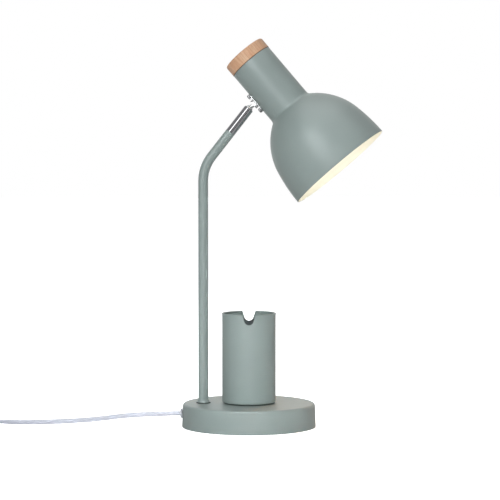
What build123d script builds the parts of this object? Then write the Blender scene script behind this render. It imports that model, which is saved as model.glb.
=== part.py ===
# Desk lamp with a pen holder on its base.
# Millimetres, +Z up. The origin is the middle of the base's underside, the post stands towards -X,
# the shade points towards +X, and +Y is the back.
from build123d import *
from math import acos, cos, degrees, hypot, pi, radians, sin, sqrt, tan
import os

# Base
base_bottom_diameter = 150.0
base_top_diameter = 148.0
base_height = 26.1
base_edge_radius = 3.0
base_wall = 1.6
base_lift = 0.3            # the shell's lower edge stays this far above the table
pad_inset = 3.4            # from the shell's inner edge
pad_thickness = 1.5
plate_thickness = 1.5
plate_gap = 0.4
ballast_thickness = 11.0
ballast_gap = 4.4          # between the disc's edge and the shell's wall
ballast_slot_margin = 4.0  # on each side of the post's washer
boss_count = 3
boss_inset = 13.0          # from the disc's edge to the middle of a boss
boss_diameter = 10.0
plate_screw_diameter = 4.0
plate_screw_head_diameter = 7.0
plate_screw_length = 9.0

# Post and arm
stop_to_post_nut = 1.0     # from the cord's stop to the corner of the post's nut
tube_diameter = 11.0
tube_wall = 1.0
arm_corner_height = 290.5  # where the upright and the slanted centre lines meet
arm_bend_radius = 45.0
arm_rise = 52.0            # degrees above level
arm_slant_length = 49.4    # from the corner to the barrel
collar_diameter = 16.0
collar_height = 4.0
collar_lip = 0.8
nipple_bore = 6.4
nipple_in_tube = 18.0
post_washer_diameter = 20.0
post_washer_thickness = 1.5
post_nut_flats = 15.0
post_nut_thickness = 5.0
nipple_below_nut = 2.0

# Pen cup
cup_diameter = 60.0
cup_height = 100.0
cup_wall = 1.0
cup_floor = 1.5
cup_bead_radius = 0.9
cup_foot_radius = 1.5
cup_spacer_thickness = 1.3
cup_spacer_diameter = 40.0
notch_depth = 11.4
notch_round = 5.2
notch_flare = 18.5         # degrees that each side leans outwards
cup_screw_diameter = 5.0
cup_screw_head_diameter = 9.0
cup_screw_head_height = 2.8
cup_washer_diameter = 13.0
cup_washer_thickness = 1.0

# Cord, its gland and what holds it inside the base
cord_diameter = 5.2        # the wider way across the flat sheath
cord_thickness = 3.2
gland_height = 14.8
gland_diameter = 10.8
gland_stand_out = 2.2
gland_shank_diameter = 7.6
gland_nut_flats = 11.0
gland_nut_thickness = 3.5
gland_shank_past_nut = 3.0
cord_stop_length = 5.0
cord_stop_width = 11.0
cord_stop_height = 8.0
cord_past_stop = 0.7
wire_diameter = 1.6
wire_spacing = 1.7
sheath_core_spacing = 2.4
terminal_from_post = 21.0
terminal_length = 16.0
terminal_width = 16.0
terminal_height = 9.0
terminal_pole_spacing = 8.0
terminal_hole_diameter = 3.0
terminal_wire_depth = 3.0
terminal_screw_diameter = 2.5
terminal_pocket_depth = 3.0
fixing_screw_diameter = 3.0
fixing_screw_head_diameter = 5.5
fixing_screw_head_height = 2.0
fixing_screw_in_disc = 6.0
fixing_hole_depth = 7.0
wire_turn_reach = 8.0      # how far the arm's wires swing out beyond the terminal block
wire_turn_step = 4.0       # how much wider the second one swings
wire_turn_drop = 3.4       # how much lower the second one lies

# Joint between arm and shade
barrel_wall = 1.25         # beside the ball
barrel_length = 34.0
barrel_chamfer = 0.8
barrel_past_ball = 1.3     # the lip reaches this far beyond the ball's centre
barrel_floor_depth = 9.0
barrel_spigot_length = 10.0
ball_diameter = 8.8
seat_top_depth = 1.0
seat_bore = 3.6
spring_thickness = 0.5
spring_height = 1.0
stem_diameter = 4.6
stem_length = 7.05         # from the ball's centre to the flange
stem_bore = 3.4
wire_bore_margin = 0.9
flange_flats = 9.2
flange_thickness = 2.8
stud_thread_diameter = 6.0
stud_nut_flats = 10.0
stud_nut_thickness = 3.5
stud_past_nut = 0.6
stud_washer_diameter = 12.0
stud_washer_thickness = 1.0
joint_plate_length = 25.0
joint_plate_width = 10.0
joint_plate_thickness = 1.2
joint_screw_inset = 2.9    # from the plate's end to the middle of a screw
joint_screw_diameter = 3.0
joint_screw_head_diameter = 5.4
joint_screw_head_height = 2.4
joint_nut_flats = 5.5
joint_nut_thickness = 2.4
joint_screw_past_nut = 0.8
head_tilt = 11.7           # degrees between the arm's line and the stud, as photographed
head_swivel = -6.8         # degrees about the arm's line, as photographed

# Shade
shade_rim_radius = 61.1
shade_wall = 0.9
shade_rim_slope = 0.5      # degrees
shade_lower_radius = 200.0
shade_lower_slope = 12.0   # degrees, where the lower arc ends
shade_shoulder_radius = 72.0
shade_neck_fillet = 5.0
neck_diameter = 50.5
neck_length = 65.2
joint_below_neck_top = 38.0
cap_overhang = 0.25
cap_thickness = 12.9
cap_round = 1.6
cap_seam = 0.3
cap_spigot_length = 4.0
cap_pocket_diameter = 19.0
cap_pocket_depth = 8.0
disc_thickness = 1.5
disc_skirt = 6.0
cap_screw_circle_radius = 16.0
cap_screw_diameter = 3.5
cap_screw_length = 11.0
cap_screw_head_diameter = 6.5
cap_screw_head_height = 2.0
holder_nipple_diameter = 9.8
holder_nipple_bore = 6.5
holder_nut_flats = 14.0
holder_nut_thickness = 4.0
nipple_past_nut = 1.5

# Lampholder and bulb
holder_collar_diameter = 16.0
holder_collar_length = 8.0
holder_diameter = 28.0
holder_cover_length = 18.0
holder_body_length = 24.0
holder_wall = 1.5
holder_shoulder_radius = 3.0
holder_body_step = 0.5     # how far the lower shell lies inside the upper one's outline
holder_mouth_radius = 1.2
holder_insert_length = 6.0
holder_contact_room = 3.0  # above the bulb's cap, for the centre contact
side_contact_wall = 0.7
side_contact_inset = 3.0   # from the holder's mouth
side_contact_length = 15.0
bulb_cap_diameter = 13.6
bulb_cap_length = 20.0
bulb_cap_wall = 0.5
bulb_cap_proud = 2.0
bulb_tip_height = 1.5
bulb_tip_base_diameter = 8.0
bulb_tip_end_diameter = 4.8
bulb_globe_diameter = 45.0
bulb_globe_wall = 1.2
bulb_body_widest = 36.0
bulb_body_length = 21.0
bulb_body_edge = 1.0
bulb_body_edge_height = 3.0
bulb_neck_diameter = 16.0
bulb_neck_length = 2.0
contact_thickness = 0.4
contact_strip_length = 10.0
contact_strip_width = 3.0
head_wire_gap = 1.3        # between a wire and the lampholder
head_wire_inside = 2.5     # how far it goes in past the holder's wall
head_wire_bend = 2.24

# Switch on the cord
switch_x = -318.0          # its end towards the lamp
switch_y = 24.0
switch_length = 60.0
switch_width = 24.0
switch_height = 15.0
switch_split = 6.0
switch_corner_radius = 7.0
switch_edge_radius = 2.0
switch_wall = 1.6
window_length = 17.0
window_width = 9.4
rocker_length = 15.4
rocker_width = 8.8
rocker_bottom_depth = 5.2  # below the switch's top, as are the axle's
rocker_axle_depth = 3.7
rocker_middle_proud = 0.9
rocker_end_proud = 2.2
rocker_axle_diameter = 2.4
rocker_axle_length = 11.2
rocker_ear_gap = 9.5
rocker_ear_thickness = 1.5
rocker_ear_length = 6.0
rocker_ear_drop = 3.9
rocker_tilt = 8.0          # degrees each way from the middle
switch_screw_x = 23.0
switch_pillar_diameter = 6.4
switch_screw_diameter = 2.5
switch_screw_head_diameter = 4.8
switch_screw_head_height = 1.6
switch_screw_in_top = 5.0
switch_hole_in_top = 6.0
switch_contact_x = 8.0
switch_contact_length = 2.0
switch_contact_width = 4.0
switch_contact_gap = 2.2   # under the level rocker

# Coil of the cord that is put away, its tie and the plug
coil_x = -444.2
coil_y = -7.5
coil_outer_radius = 37.5
coil_half_turns = 7        # planar half turns in each of the two layers
coil_gap = 0.5             # between neighbouring turns
tie_thickness = 0.8
tie_width = 5.0
tie_clearance = 0.3
coil_over_tie = 0.2        # between the lowest turns and the tie that lies under them
plug_back_x = -368.0
plug_y = -52.0
plug_length = 34.0
plug_straight = 14.0
plug_width = 35.0
plug_back_width = 15.0
plug_thickness = 13.7
plug_edge_radius = 3.0
relief_length = 22.0
relief_back_diameter = 6.6
relief_front_diameter = 9.4
pin_spacing = 18.6
pin_diameter = 4.0
pin_length = 19.0
pin_sleeve_length = 10.0
pin_root_diameter = 2.4

# Clearances
close_fit = 0.05           # threads, pins and turned fits
free_fit = 0.3             # clearance holes and parts that only lie beside each other
cut_over = 1.0             # how far a cutting tool runs past a face

shell_slope = (base_bottom_diameter - base_top_diameter) / 2 / base_height


def outer_wall(height):
    """Radius of the outside of the base's wall at a height."""
    return base_bottom_diameter / 2 - shell_slope * (height - base_lift)


def inner_wall(low, high):
    """The least radius of the inside of the base's wall between two heights."""
    return min(outer_wall(low), outer_wall(high)) - base_wall


def gland_shank_end():
    return gland_nut_x() + gland_nut_thickness + gland_shank_past_nut


def gland_nut_x():
    """The nut's flat face meets the curved wall at its corners."""
    corner = gland_nut_flats / sqrt(3)
    above = inner_wall(gland_height - corner, gland_height + corner)
    beside = inner_wall(gland_height - corner / 2, gland_height + corner / 2)
    return close_fit - min(above, sqrt(beside**2 - (gland_nut_flats / 2) ** 2))


def cord_stop_x():
    return gland_shank_end() + free_fit


# Heights and radii that follow from the sizes above
post_x = cord_stop_x() + cord_stop_length + stop_to_post_nut + post_nut_flats / sqrt(3)
terminal_x = post_x + terminal_from_post
base_top = base_lift + base_height
shell_underside = base_top - base_wall
plate_top = pad_thickness + plate_thickness
ballast_bottom = shell_underside - ballast_thickness
cup_bottom = base_top + cup_spacer_thickness
cup_top = cup_bottom + cup_height
tube_radius = tube_diameter / 2
tube_inner_radius = tube_radius - tube_wall
nipple_radius = tube_inner_radius - close_fit
post_nut_bottom = shell_underside - post_washer_thickness - post_nut_thickness
nipple_bottom = post_nut_bottom - nipple_below_nut
ball_radius = ball_diameter / 2
barrel_radius = ball_radius + close_fit + barrel_wall
ball_along = arm_slant_length + barrel_length - barrel_past_ball
ball_x = post_x + ball_along * cos(radians(arm_rise))
ball_z = arm_corner_height + ball_along * sin(radians(arm_rise))
neck_radius = neck_diameter / 2
neck_inner_radius = neck_radius - shade_wall
ball_to_axis = stem_length + flange_thickness + joint_plate_thickness + neck_radius
joint_screw_spacing = joint_plate_length - 2 * joint_screw_inset
holder_bore = bulb_cap_diameter + 2 * side_contact_wall + 4 * close_fit
rocker_axle_height = switch_height - rocker_axle_depth
rocker_bottom = switch_height - rocker_bottom_depth
gland_face = max(outer_wall(gland_height - gland_diameter / 2), outer_wall(gland_height + gland_diameter / 2))
gland_outer_face = gland_face + gland_stand_out
ballast_radius = inner_wall(ballast_bottom, shell_underside) - ballast_gap
boss_circle_radius = ballast_radius - boss_inset
on_base = (Align.CENTER, Align.CENTER, Align.MIN)

# The arm's frame has its origin at the ball's centre and +Z along the arm. The head's frame has the
# same origin, +X along the stud and +Z from the rim towards the cap.
arm_frame = Pos(ball_x, 0, ball_z) * Rot(0, 90 - arm_rise, 0)
head_frame = arm_frame * Rot(0, 0, head_swivel) * Rot(0, head_tilt - 90, 0)


def rod(radius, bottom, top):
    """A round bar about Z."""
    return Pos(0, 0, bottom) * Cylinder(radius, top - bottom, align=on_base)


def ring(outer, inner, bottom, top):
    """A straight tube about Z."""
    return rod(outer, bottom, top) - rod(inner, bottom - cut_over, top + cut_over)


def block(x_low, x_high, y_low, y_high, z_low, z_high):
    """A box between two corners."""
    size = Box(x_high - x_low, y_high - y_low, z_high - z_low, align=(Align.MIN, Align.MIN, Align.MIN))
    return Pos(x_low, y_low, z_low) * size


def hexagon(flats, bottom, top):
    """A hexagonal bar about Z."""
    return Pos(0, 0, bottom) * extrude(RegularPolygon(flats / 2, 6, major_radius=False), top - bottom)


def spun(*outline):
    """A turned shape from (radius, height) points."""
    return revolve(Plane.XZ * make_face(Polyline(*outline, close=True)), Axis.Z)


def along_x(shape):
    """Turns a shape made about Z so that its +Z points to +X."""
    return Rot(0, 90, 0) * shape


def countersunk_screw(diameter, head_diameter, length):
    """A screw about Z whose flat head lies at z = 0 and whose shank points up."""
    shank = diameter / 2
    head = head_diameter / 2
    return spun((0, 0), (head, 0), (shank, head - shank), (shank, length), (0, length))


def pan_screw(diameter, head_diameter, head_height, length):
    """A screw about Z with its head's seat at z = 0, the domed head above and the shank below."""
    head = rod(head_diameter / 2, 0, head_height)
    head = fillet(head.edges().sort_by(Axis.Z)[-1], head_height * 0.6)
    return head + rod(diameter / 2, -length, 0)


def bend_radii(points):
    """The largest arcs that fit a route's corners, each using 0.45 of the shorter run beside it."""
    radii = []
    for before, here, after in zip(points, points[1:], points[2:]):
        run_in = Vector(here) - Vector(before)
        run_out = Vector(after) - Vector(here)
        half_turn = radians(run_in.get_angle(run_out) / 2)
        radii.append(0.45 * min(run_in.length, run_out.length) / tan(half_turn))
    return radii


def flexible(points, diameter, label=None):
    """A round wire or cord along straight runs that tangent arcs join."""
    radii = bend_radii(points)
    path = FilletPolyline(*points, radius=radii)
    section = Plane(origin=points[0], z_dir=Vector(points[1]) - Vector(points[0])) * Circle(diameter / 2)
    solid = sweep(section, path=path)
    if label:
        share = solid.volume / (pi * diameter**2 / 4 * path.length)
        print(label, "length", round(path.length, 1), "volume share", round(share, 5))
        print(label, "radii", [round(radius) for radius in radii])
    return solid


def stroke(start, heading, steps, offset):
    """Edges of a smooth stroke, moved to its left by offset.

    A step is (length,) for a straight run or (radius, turn) for an arc that turns left by turn degrees.
    """
    normal = radians(heading + 90)
    x = start[0] + offset * cos(normal)
    y = start[1] + offset * sin(normal)
    edges = []
    for step in steps:
        if len(step) == 1:
            x_end = x + step[0] * cos(radians(heading))
            y_end = y + step[0] * sin(radians(heading))
            edges.append(Line((x, y), (x_end, y_end)))
        else:
            radius, turn = step
            side = 1 if turn > 0 else -1
            radius = radius - side * offset
            towards = radians(heading + 90 * side)
            centre_x = x + radius * cos(towards)
            centre_y = y + radius * sin(towards)
            spots = []
            for share in (0.5, 1.0):
                angle = towards + pi + radians(turn * share)
                spots.append((centre_x + radius * cos(angle), centre_y + radius * sin(angle)))
            edges.append(ThreePointArc((x, y), spots[0], spots[1]))
            x_end, y_end = spots[1]
            heading += turn
        x, y = x_end, y_end
    return edges


def around(count, radius, shape):
    """Copies of a shape on a circle about Z, as one group of solids."""
    return [Rot(0, 0, index * 360 / count) * Pos(radius, 0, 0) * shape for index in range(count)]


def joined(shapes):
    """One solid from several that touch or overlap."""
    total = shapes[0]
    for shape in shapes[1:]:
        total = total + shape
    return total


def base_shell():
    bottom_radius = base_bottom_diameter / 2
    top_radius = base_top_diameter / 2
    outer = spun((0, base_lift), (bottom_radius, base_lift), (top_radius, base_top), (0, base_top))
    outer = fillet(outer.edges().sort_by(Axis.Z)[-1], base_edge_radius)
    inner = spun(
        (0, base_lift - cut_over),
        (bottom_radius - base_wall + shell_slope * cut_over, base_lift - cut_over),
        (top_radius - base_wall + shell_slope * base_wall, shell_underside),
        (0, shell_underside),
    )
    inner = fillet(inner.edges().sort_by(Axis.Z)[-1], max(base_edge_radius - base_wall, 0.4))
    shell = outer - inner
    shell -= Pos(post_x, 0, 0) * rod(nipple_radius + free_fit, ballast_bottom, base_top + cut_over)
    shell -= rod(cup_screw_diameter / 2 + free_fit, ballast_bottom, base_top + cut_over)
    gland_hole = along_x(rod(gland_shank_diameter / 2 + free_fit, -gland_face - cut_over, post_x))
    return shell - Pos(0, 0, gland_height) * gland_hole


def ballast_weight():
    """A cast disc under the top of the base, open beside the post and the gland, with screw bosses."""
    disc = rod(ballast_radius, ballast_bottom, shell_underside)
    bosses = around(boss_count, boss_circle_radius, rod(boss_diameter / 2, plate_top, shell_underside))
    disc = joined([disc] + bosses)
    slot_half = post_washer_diameter / 2 + ballast_slot_margin
    slot_end = post_x + slot_half + free_fit
    disc -= block(-base_bottom_diameter, slot_end, -slot_half, slot_half, 0, base_top)
    tapped = rod(plate_screw_diameter / 2 + close_fit, 0, pad_thickness + plate_screw_length + cut_over)
    for hole in around(boss_count, boss_circle_radius, tapped):
        disc -= hole
    disc -= rod(cup_screw_diameter / 2 + close_fit, 0, base_top)
    fixing = rod(fixing_screw_diameter / 2 + close_fit, 0, ballast_bottom + fixing_hole_depth)
    return disc - Pos(terminal_x, 0, 0) * fixing


def base_plate():
    plate = rod(inner_wall(pad_thickness, plate_top) - plate_gap, pad_thickness, plate_top)
    screw = countersunk_screw(
        plate_screw_diameter + 2 * close_fit,
        plate_screw_head_diameter + 2 * close_fit,
        plate_screw_length,
    )
    for hole in around(boss_count, boss_circle_radius, Pos(0, 0, pad_thickness) * screw):
        plate -= hole
    return plate


def base_plate_screws():
    screw = countersunk_screw(plate_screw_diameter, plate_screw_head_diameter, plate_screw_length)
    return around(boss_count, boss_circle_radius, Pos(0, 0, pad_thickness) * screw)


def base_pad():
    return rod(inner_wall(base_lift, pad_thickness) - pad_inset, 0, pad_thickness)


def arm_path(start_height, side=0.0, end_along=arm_slant_length):
    """The post's and arm's centre line, or one beside it, from a height up to a place on the slant."""
    end_x = post_x + end_along * cos(radians(arm_rise))
    end_z = arm_corner_height + end_along * sin(radians(arm_rise))
    corners = [(post_x, side, start_height), (post_x, side, arm_corner_height), (end_x, side, end_z)]
    return FilletPolyline(*corners, radius=arm_bend_radius)


def arm_tube():
    path = arm_path(base_top)
    foot = Plane(origin=(post_x, 0, base_top))
    return sweep(foot * Circle(tube_radius), path=path) - sweep(foot * Circle(tube_inner_radius), path=path)


def post_collar():
    """A flared ring that hides the foot of the post."""
    bore = tube_radius + close_fit
    foot = collar_diameter / 2
    top = bore + collar_lip
    bottom_z = base_top
    shoulder = bottom_z + collar_lip
    top_z = bottom_z + collar_height
    sag = (top + 0.25 * (foot - top), shoulder + 0.25 * (top_z - shoulder))
    edges = [
        Line((bore, bottom_z), (foot, bottom_z)),
        Line((foot, bottom_z), (foot, shoulder)),
        ThreePointArc((foot, shoulder), sag, (top, top_z)),
        Line((top, top_z), (bore, top_z)),
        Line((bore, top_z), (bore, bottom_z)),
    ]
    return Pos(post_x, 0, 0) * revolve(Plane.XZ * make_face(edges), Axis.Z)


def post_nipple():
    return Pos(post_x, 0, 0) * ring(nipple_radius, nipple_bore / 2, nipple_bottom, base_top + nipple_in_tube)


def post_washer():
    washer_bottom = shell_underside - post_washer_thickness
    return Pos(post_x, 0, 0) * ring(
        post_washer_diameter / 2, nipple_radius + free_fit, washer_bottom, shell_underside
    )


def post_nut():
    top = shell_underside - post_washer_thickness
    nut = hexagon(post_nut_flats, post_nut_bottom, top)
    return Pos(post_x, 0, 0) * (nut - rod(nipple_radius + close_fit, post_nut_bottom - 1, top + 1))


def pen_cup():
    """A tube with a floor, a rolled rim and a U notch through its front and back walls."""
    radius = cup_diameter / 2
    cup = rod(radius, cup_bottom, cup_top - cup_bead_radius)
    cup = fillet(cup.edges().sort_by(Axis.Z)[0], cup_foot_radius)
    cup -= rod(radius - cup_wall, cup_bottom + cup_floor, cup_top + cut_over)
    bead = Plane.XZ * Pos(radius - cup_wall / 2, cup_top - cup_bead_radius) * Circle(cup_bead_radius)
    cup += revolve(bead, Axis.Z)
    cup -= rod(cup_screw_diameter / 2 + free_fit, base_top, cup_top)
    return cup - notch_cutter()


def notch_cutter():
    """The U notch's outline, drawn in the XZ plane and run through both walls along Y."""
    bottom = cup_top - notch_depth
    centre_z = bottom + notch_round
    side_x = notch_round * cos(radians(notch_flare))
    side_z = centre_z + notch_round * sin(radians(-notch_flare))
    top_z = cup_top + cut_over
    top_x = side_x + (top_z - side_z) * tan(radians(notch_flare))
    edges = [
        Line((-top_x, top_z), (-side_x, side_z)),
        ThreePointArc((-side_x, side_z), (0, bottom), (side_x, side_z)),
        Line((side_x, side_z), (top_x, top_z)),
        Line((top_x, top_z), (-top_x, top_z)),
    ]
    return extrude(Plane.XZ * make_face(edges), cup_diameter, both=True)


def cup_spacer():
    return ring(cup_spacer_diameter / 2, cup_screw_diameter / 2 + free_fit, base_top, cup_bottom)


def cup_washer():
    floor = cup_bottom + cup_floor
    hole = cup_screw_diameter / 2 + free_fit
    return ring(cup_washer_diameter / 2, hole, floor, floor + cup_washer_thickness)


def cup_screw():
    seat = cup_bottom + cup_floor + cup_washer_thickness
    length = seat - ballast_bottom
    screw = pan_screw(cup_screw_diameter, cup_screw_head_diameter, cup_screw_head_height, length)
    return Pos(0, 0, seat) * screw


def flat_section(width, thickness, x_low, x_high):
    """A flat bar with round edges that runs along X at the gland's height."""
    bar = extrude(Plane.YZ * SlotOverall(width, thickness), x_high - x_low)
    return Pos(x_low, 0, gland_height) * bar


def cord_gland():
    """A domed bush in the side of the base, with a flat bore for the cord."""
    flange = rod(gland_diameter / 2, 0, gland_stand_out)
    flange = fillet(flange.edges().sort_by(Axis.Z)[-1], gland_stand_out * 0.7)
    bush = flange + rod(gland_shank_diameter / 2, -gland_face - gland_shank_end(), 0)
    bush = Pos(-gland_face, 0, gland_height) * Rot(0, -90, 0) * bush
    return bush - cord_bore(-gland_outer_face, gland_shank_end())


def cord_bore(x_low, x_high):
    """The flat way for the cord through a piece between two places along X."""
    width = cord_diameter + 2 * close_fit
    return flat_section(width, cord_thickness + 2 * close_fit, x_low - cut_over, x_high + cut_over)


def gland_nut():
    x = gland_nut_x()
    nut = hexagon(gland_nut_flats, 0, gland_nut_thickness)
    nut -= rod(gland_shank_diameter / 2 + close_fit, -cut_over, gland_nut_thickness + cut_over)
    return Pos(x, 0, gland_height) * along_x(nut)


def cord_tail_end():
    """Where the sheath ends, inside the base."""
    return cord_stop_x() + cord_stop_length + cord_past_stop


def cord_stop():
    """A sleeve crimped on the cord, which the gland holds back."""
    x = cord_stop_x()
    low = gland_height - cord_stop_height / 2
    half = cord_stop_width / 2
    sleeve = block(x, x + cord_stop_length, -half, half, low, low + cord_stop_height)
    return sleeve - cord_bore(x, x + cord_stop_length)


def cord_tail():
    return flat_section(cord_diameter, cord_thickness, -gland_outer_face, cord_tail_end())


def terminal_middle():
    """Height of the wire holes in the terminal block."""
    return ballast_bottom - terminal_height / 2


def terminal_block():
    half_x = terminal_length / 2
    half_y = terminal_width / 2
    body = block(-half_x, half_x, -half_y, half_y, ballast_bottom - terminal_height, ballast_bottom)
    hole = Rot(90, 0, 0) * Cylinder(terminal_hole_diameter / 2, terminal_wire_depth * 2 + 2)
    for x in (-terminal_pole_spacing / 2, terminal_pole_spacing / 2):
        for y in (-half_y, half_y):
            body -= Pos(x, y, terminal_middle()) * hole
            clamp = rod(terminal_screw_diameter / 2 + close_fit, 0, terminal_middle())
            body -= Pos(x, y * terminal_screw_place(), 0) * clamp
    body -= rod(fixing_screw_diameter / 2 + free_fit, 0, base_top)
    head_pocket = rod(fixing_screw_head_diameter / 2 + free_fit, 0, fixing_screw_seat())
    return Pos(terminal_x, 0, 0) * (body - head_pocket)


def terminal_screw_place():
    """How far out the clamp screws stand, as a share of the block's half width."""
    return 1 - terminal_wire_depth / terminal_width


def fixing_screw_seat():
    return ballast_bottom - terminal_height + terminal_pocket_depth


def terminal_screws():
    """The four screws that clamp the wires, and the one that holds the block under the disc."""
    low = ballast_bottom - terminal_height
    high = terminal_middle() - wire_diameter / 2 - close_fit
    screws = []
    for x in (-terminal_pole_spacing / 2, terminal_pole_spacing / 2):
        for y in (-terminal_width / 2, terminal_width / 2):
            screw = rod(terminal_screw_diameter / 2, low, high)
            screws.append(Pos(terminal_x + x, y * terminal_screw_place(), 0) * screw)
    seat = fixing_screw_seat()
    fixing = rod(fixing_screw_head_diameter / 2, seat - fixing_screw_head_height, seat)
    fixing += rod(fixing_screw_diameter / 2, seat, ballast_bottom + fixing_screw_in_disc)
    return screws + [Pos(terminal_x, 0, 0) * fixing]


def pole_x(index):
    return terminal_x + (index - 0.5) * terminal_pole_spacing


def supply_wires():
    """The cord's two cores, from the end of its sheath to the terminal block."""
    start = cord_tail_end()
    face = -terminal_width / 2
    middle = terminal_middle()
    inner = pole_x(0)
    outer = pole_x(1)
    end = face + terminal_wire_depth
    core = sheath_core_spacing / 2
    first = [
        (start, -core, gland_height), (start + 3, -core, gland_height), (start + 12, -8, middle + 0.6),
        (inner - 7, face - 8, middle), (inner - 1, face - 9, middle), (inner, face - 3.5, middle),
        (inner, end, middle),
    ]
    second = [
        (start, core, gland_height), (start + 3, core, gland_height), (start + 6, core - 0.4, gland_height - 5),
        (start + 13, -4, middle - 3.4),
        (inner - 2, face - 7, middle - 4), (inner + 5, face - 13, middle - 3), (outer, face - 9, middle - 0.4),
        (outer, face - 3.5, middle), (outer, end, middle),
    ]
    return [flexible(route, wire_diameter) for route in (first, second)]


def arm_wires():
    """Two cores from the terminal block, up the post and the arm, to the ball's seat."""
    face = terminal_width / 2
    middle = terminal_middle()
    end = face - terminal_wire_depth
    turn_height = nipple_bottom - wire_diameter / 2
    end_along = ball_along - seat_bottom_depth() + free_fit
    routes = []
    for index in (0, 1):
        drop = index * wire_turn_drop
        side = (0.5 - index) * wire_spacing
        x = pole_x(index)
        reach = face + wire_turn_reach + wire_turn_step * index
        below = [
            (x, end, middle), (x, face + 3, middle), (x - 1.5, reach, middle - drop / 2),
            (x - 8 - 2 * index, reach + 1, middle - drop), (post_x + 5, face, middle - drop),
            (post_x, side + 2.5, middle - drop + 0.6),
        ]
        top_x = post_x + end_along * cos(radians(arm_rise))
        top_z = arm_corner_height + end_along * sin(radians(arm_rise))
        above = [(post_x, side, turn_height + 2), (post_x, side, arm_corner_height), (top_x, side, top_z)]
        points = below + above
        radii = bend_radii(points)
        radii[-1] = arm_bend_radius
        radii[-2] = min(radii[-2], 12)
        path = FilletPolyline(*points, radius=radii)
        heading = Vector(points[1]) - Vector(points[0])
        routes.append(sweep(Plane(origin=points[0], z_dir=heading) * Circle(wire_diameter / 2), path=path))
    return routes


def seat_bottom_depth():
    """Depth of the ball seat's lower face below the ball's centre, along the barrel."""
    return barrel_floor_depth - spring_height - close_fit


def joint_barrel():
    """The turned barrel: its lip holds the ball, its spigot sits in the arm's tube."""
    bottom = barrel_past_ball - barrel_length
    body = ring(barrel_radius, wire_bore(), bottom, barrel_past_ball)
    body = chamfer(body.edges().filter_by(GeomType.CIRCLE).group_by(Axis.Z)[-1].sort_by(SortBy.RADIUS)[-1],
                   barrel_chamfer)
    body += ring(tube_inner_radius - close_fit, wire_bore(), bottom - barrel_spigot_length, bottom)
    body -= Sphere(ball_radius + close_fit)
    body -= rod(ball_radius + close_fit, -barrel_floor_depth, 0)
    return arm_frame * body


def wire_bore():
    """Radius of the way for the wires through the barrel."""
    return stem_bore / 2 + wire_bore_margin


def ball_spring():
    """A dished washer that presses the seat against the ball."""
    low = -barrel_floor_depth
    inner = wire_bore()
    outer = ball_radius - free_fit / 2
    dish = spring_height - spring_thickness
    return arm_frame * spun(
        (inner, low + dish), (outer, low), (outer, low + spring_thickness), (inner, low + spring_height)
    )


def ball_seat():
    seat = ring(ball_radius - close_fit, seat_bore / 2, -seat_bottom_depth(), -seat_top_depth)
    return arm_frame * (seat - Sphere(ball_radius + close_fit))


def plate_outer_x():
    """Where the fixing plate's outer face lies along the stud."""
    return ball_to_axis - neck_radius - joint_plate_thickness


def inside_neck_x(half_width):
    """Where a flat piece of this half width rests against the inside of the neck."""
    return ball_to_axis - sqrt(neck_inner_radius**2 - half_width**2) + close_fit


def ball_stud():
    """Ball, stem, hexagonal flange and threaded end in one piece, bored for the wires."""
    washer_x = inside_neck_x(stud_washer_diameter / 2)
    thread_end = washer_x + stud_washer_thickness + stud_nut_thickness + stud_past_nut
    shank = rod(stem_diameter / 2, 0, stem_length + cut_over)
    shank += hexagon(flange_flats, stem_length, plate_outer_x())
    shank += rod(stud_thread_diameter / 2, plate_outer_x(), thread_end)
    stud = Sphere(ball_radius) + along_x(shank)
    bore = along_x(rod(stem_bore / 2, -ball_diameter, thread_end + cut_over))
    return head_frame * (stud - bore)


def joint_plate():
    """A saddle plate with round ends that follows the neck."""
    outer = neck_radius + joint_plate_thickness
    saddle = Pos(ball_to_axis, 0, 0) * ring(outer, neck_radius, -joint_plate_length, joint_plate_length)
    outline = Plane.YZ * Rot(0, 0, 90) * SlotOverall(joint_plate_length, joint_plate_width)
    saddle &= extrude(outline, ball_to_axis)
    saddle -= along_x(rod(stud_thread_diameter / 2 + close_fit, 0, ball_to_axis))
    for z in (-joint_screw_spacing / 2, joint_screw_spacing / 2):
        saddle -= Pos(0, 0, z) * along_x(rod(joint_screw_diameter / 2 + free_fit / 2, 0, ball_to_axis))
    return head_frame * saddle


def joint_plate_screws():
    nut_x = inside_neck_x(joint_nut_flats / sqrt(3))
    length = nut_x + joint_nut_thickness + joint_screw_past_nut - plate_outer_x()
    screw = pan_screw(
        joint_screw_diameter, joint_screw_head_diameter, joint_screw_head_height, length
    )
    screw = Pos(plate_outer_x(), 0, 0) * Rot(0, -90, 0) * screw
    return [head_frame * Pos(0, 0, z) * screw for z in (-joint_screw_spacing / 2, joint_screw_spacing / 2)]


def joint_plate_nuts():
    nut_x = inside_neck_x(joint_nut_flats / sqrt(3))
    nut = hexagon(joint_nut_flats, nut_x, nut_x + joint_nut_thickness)
    nut = along_x(nut - rod(joint_screw_diameter / 2 + close_fit, 0, ball_to_axis))
    return [head_frame * Pos(0, 0, z) * nut for z in (-joint_screw_spacing / 2, joint_screw_spacing / 2)]


def stud_washer():
    x = inside_neck_x(stud_washer_diameter / 2)
    hole = stud_thread_diameter / 2 + close_fit
    return head_frame * along_x(ring(stud_washer_diameter / 2, hole, x, x + stud_washer_thickness))


def stud_nut():
    x = inside_neck_x(stud_washer_diameter / 2) + stud_washer_thickness
    nut = hexagon(stud_nut_flats, x, x + stud_nut_thickness)
    return head_frame * along_x(nut - rod(stud_thread_diameter / 2 + close_fit, 0, ball_to_axis))


def shoulder_slope():
    """How steep the shoulder is, in degrees, where the fillet to the neck begins."""
    lower_end = radians(shade_lower_slope)
    reach = neck_radius - skirt_top_radius() + shade_shoulder_radius * cos(lower_end) + shade_neck_fillet
    return degrees(acos(reach / (shade_shoulder_radius + shade_neck_fillet)))


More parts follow.
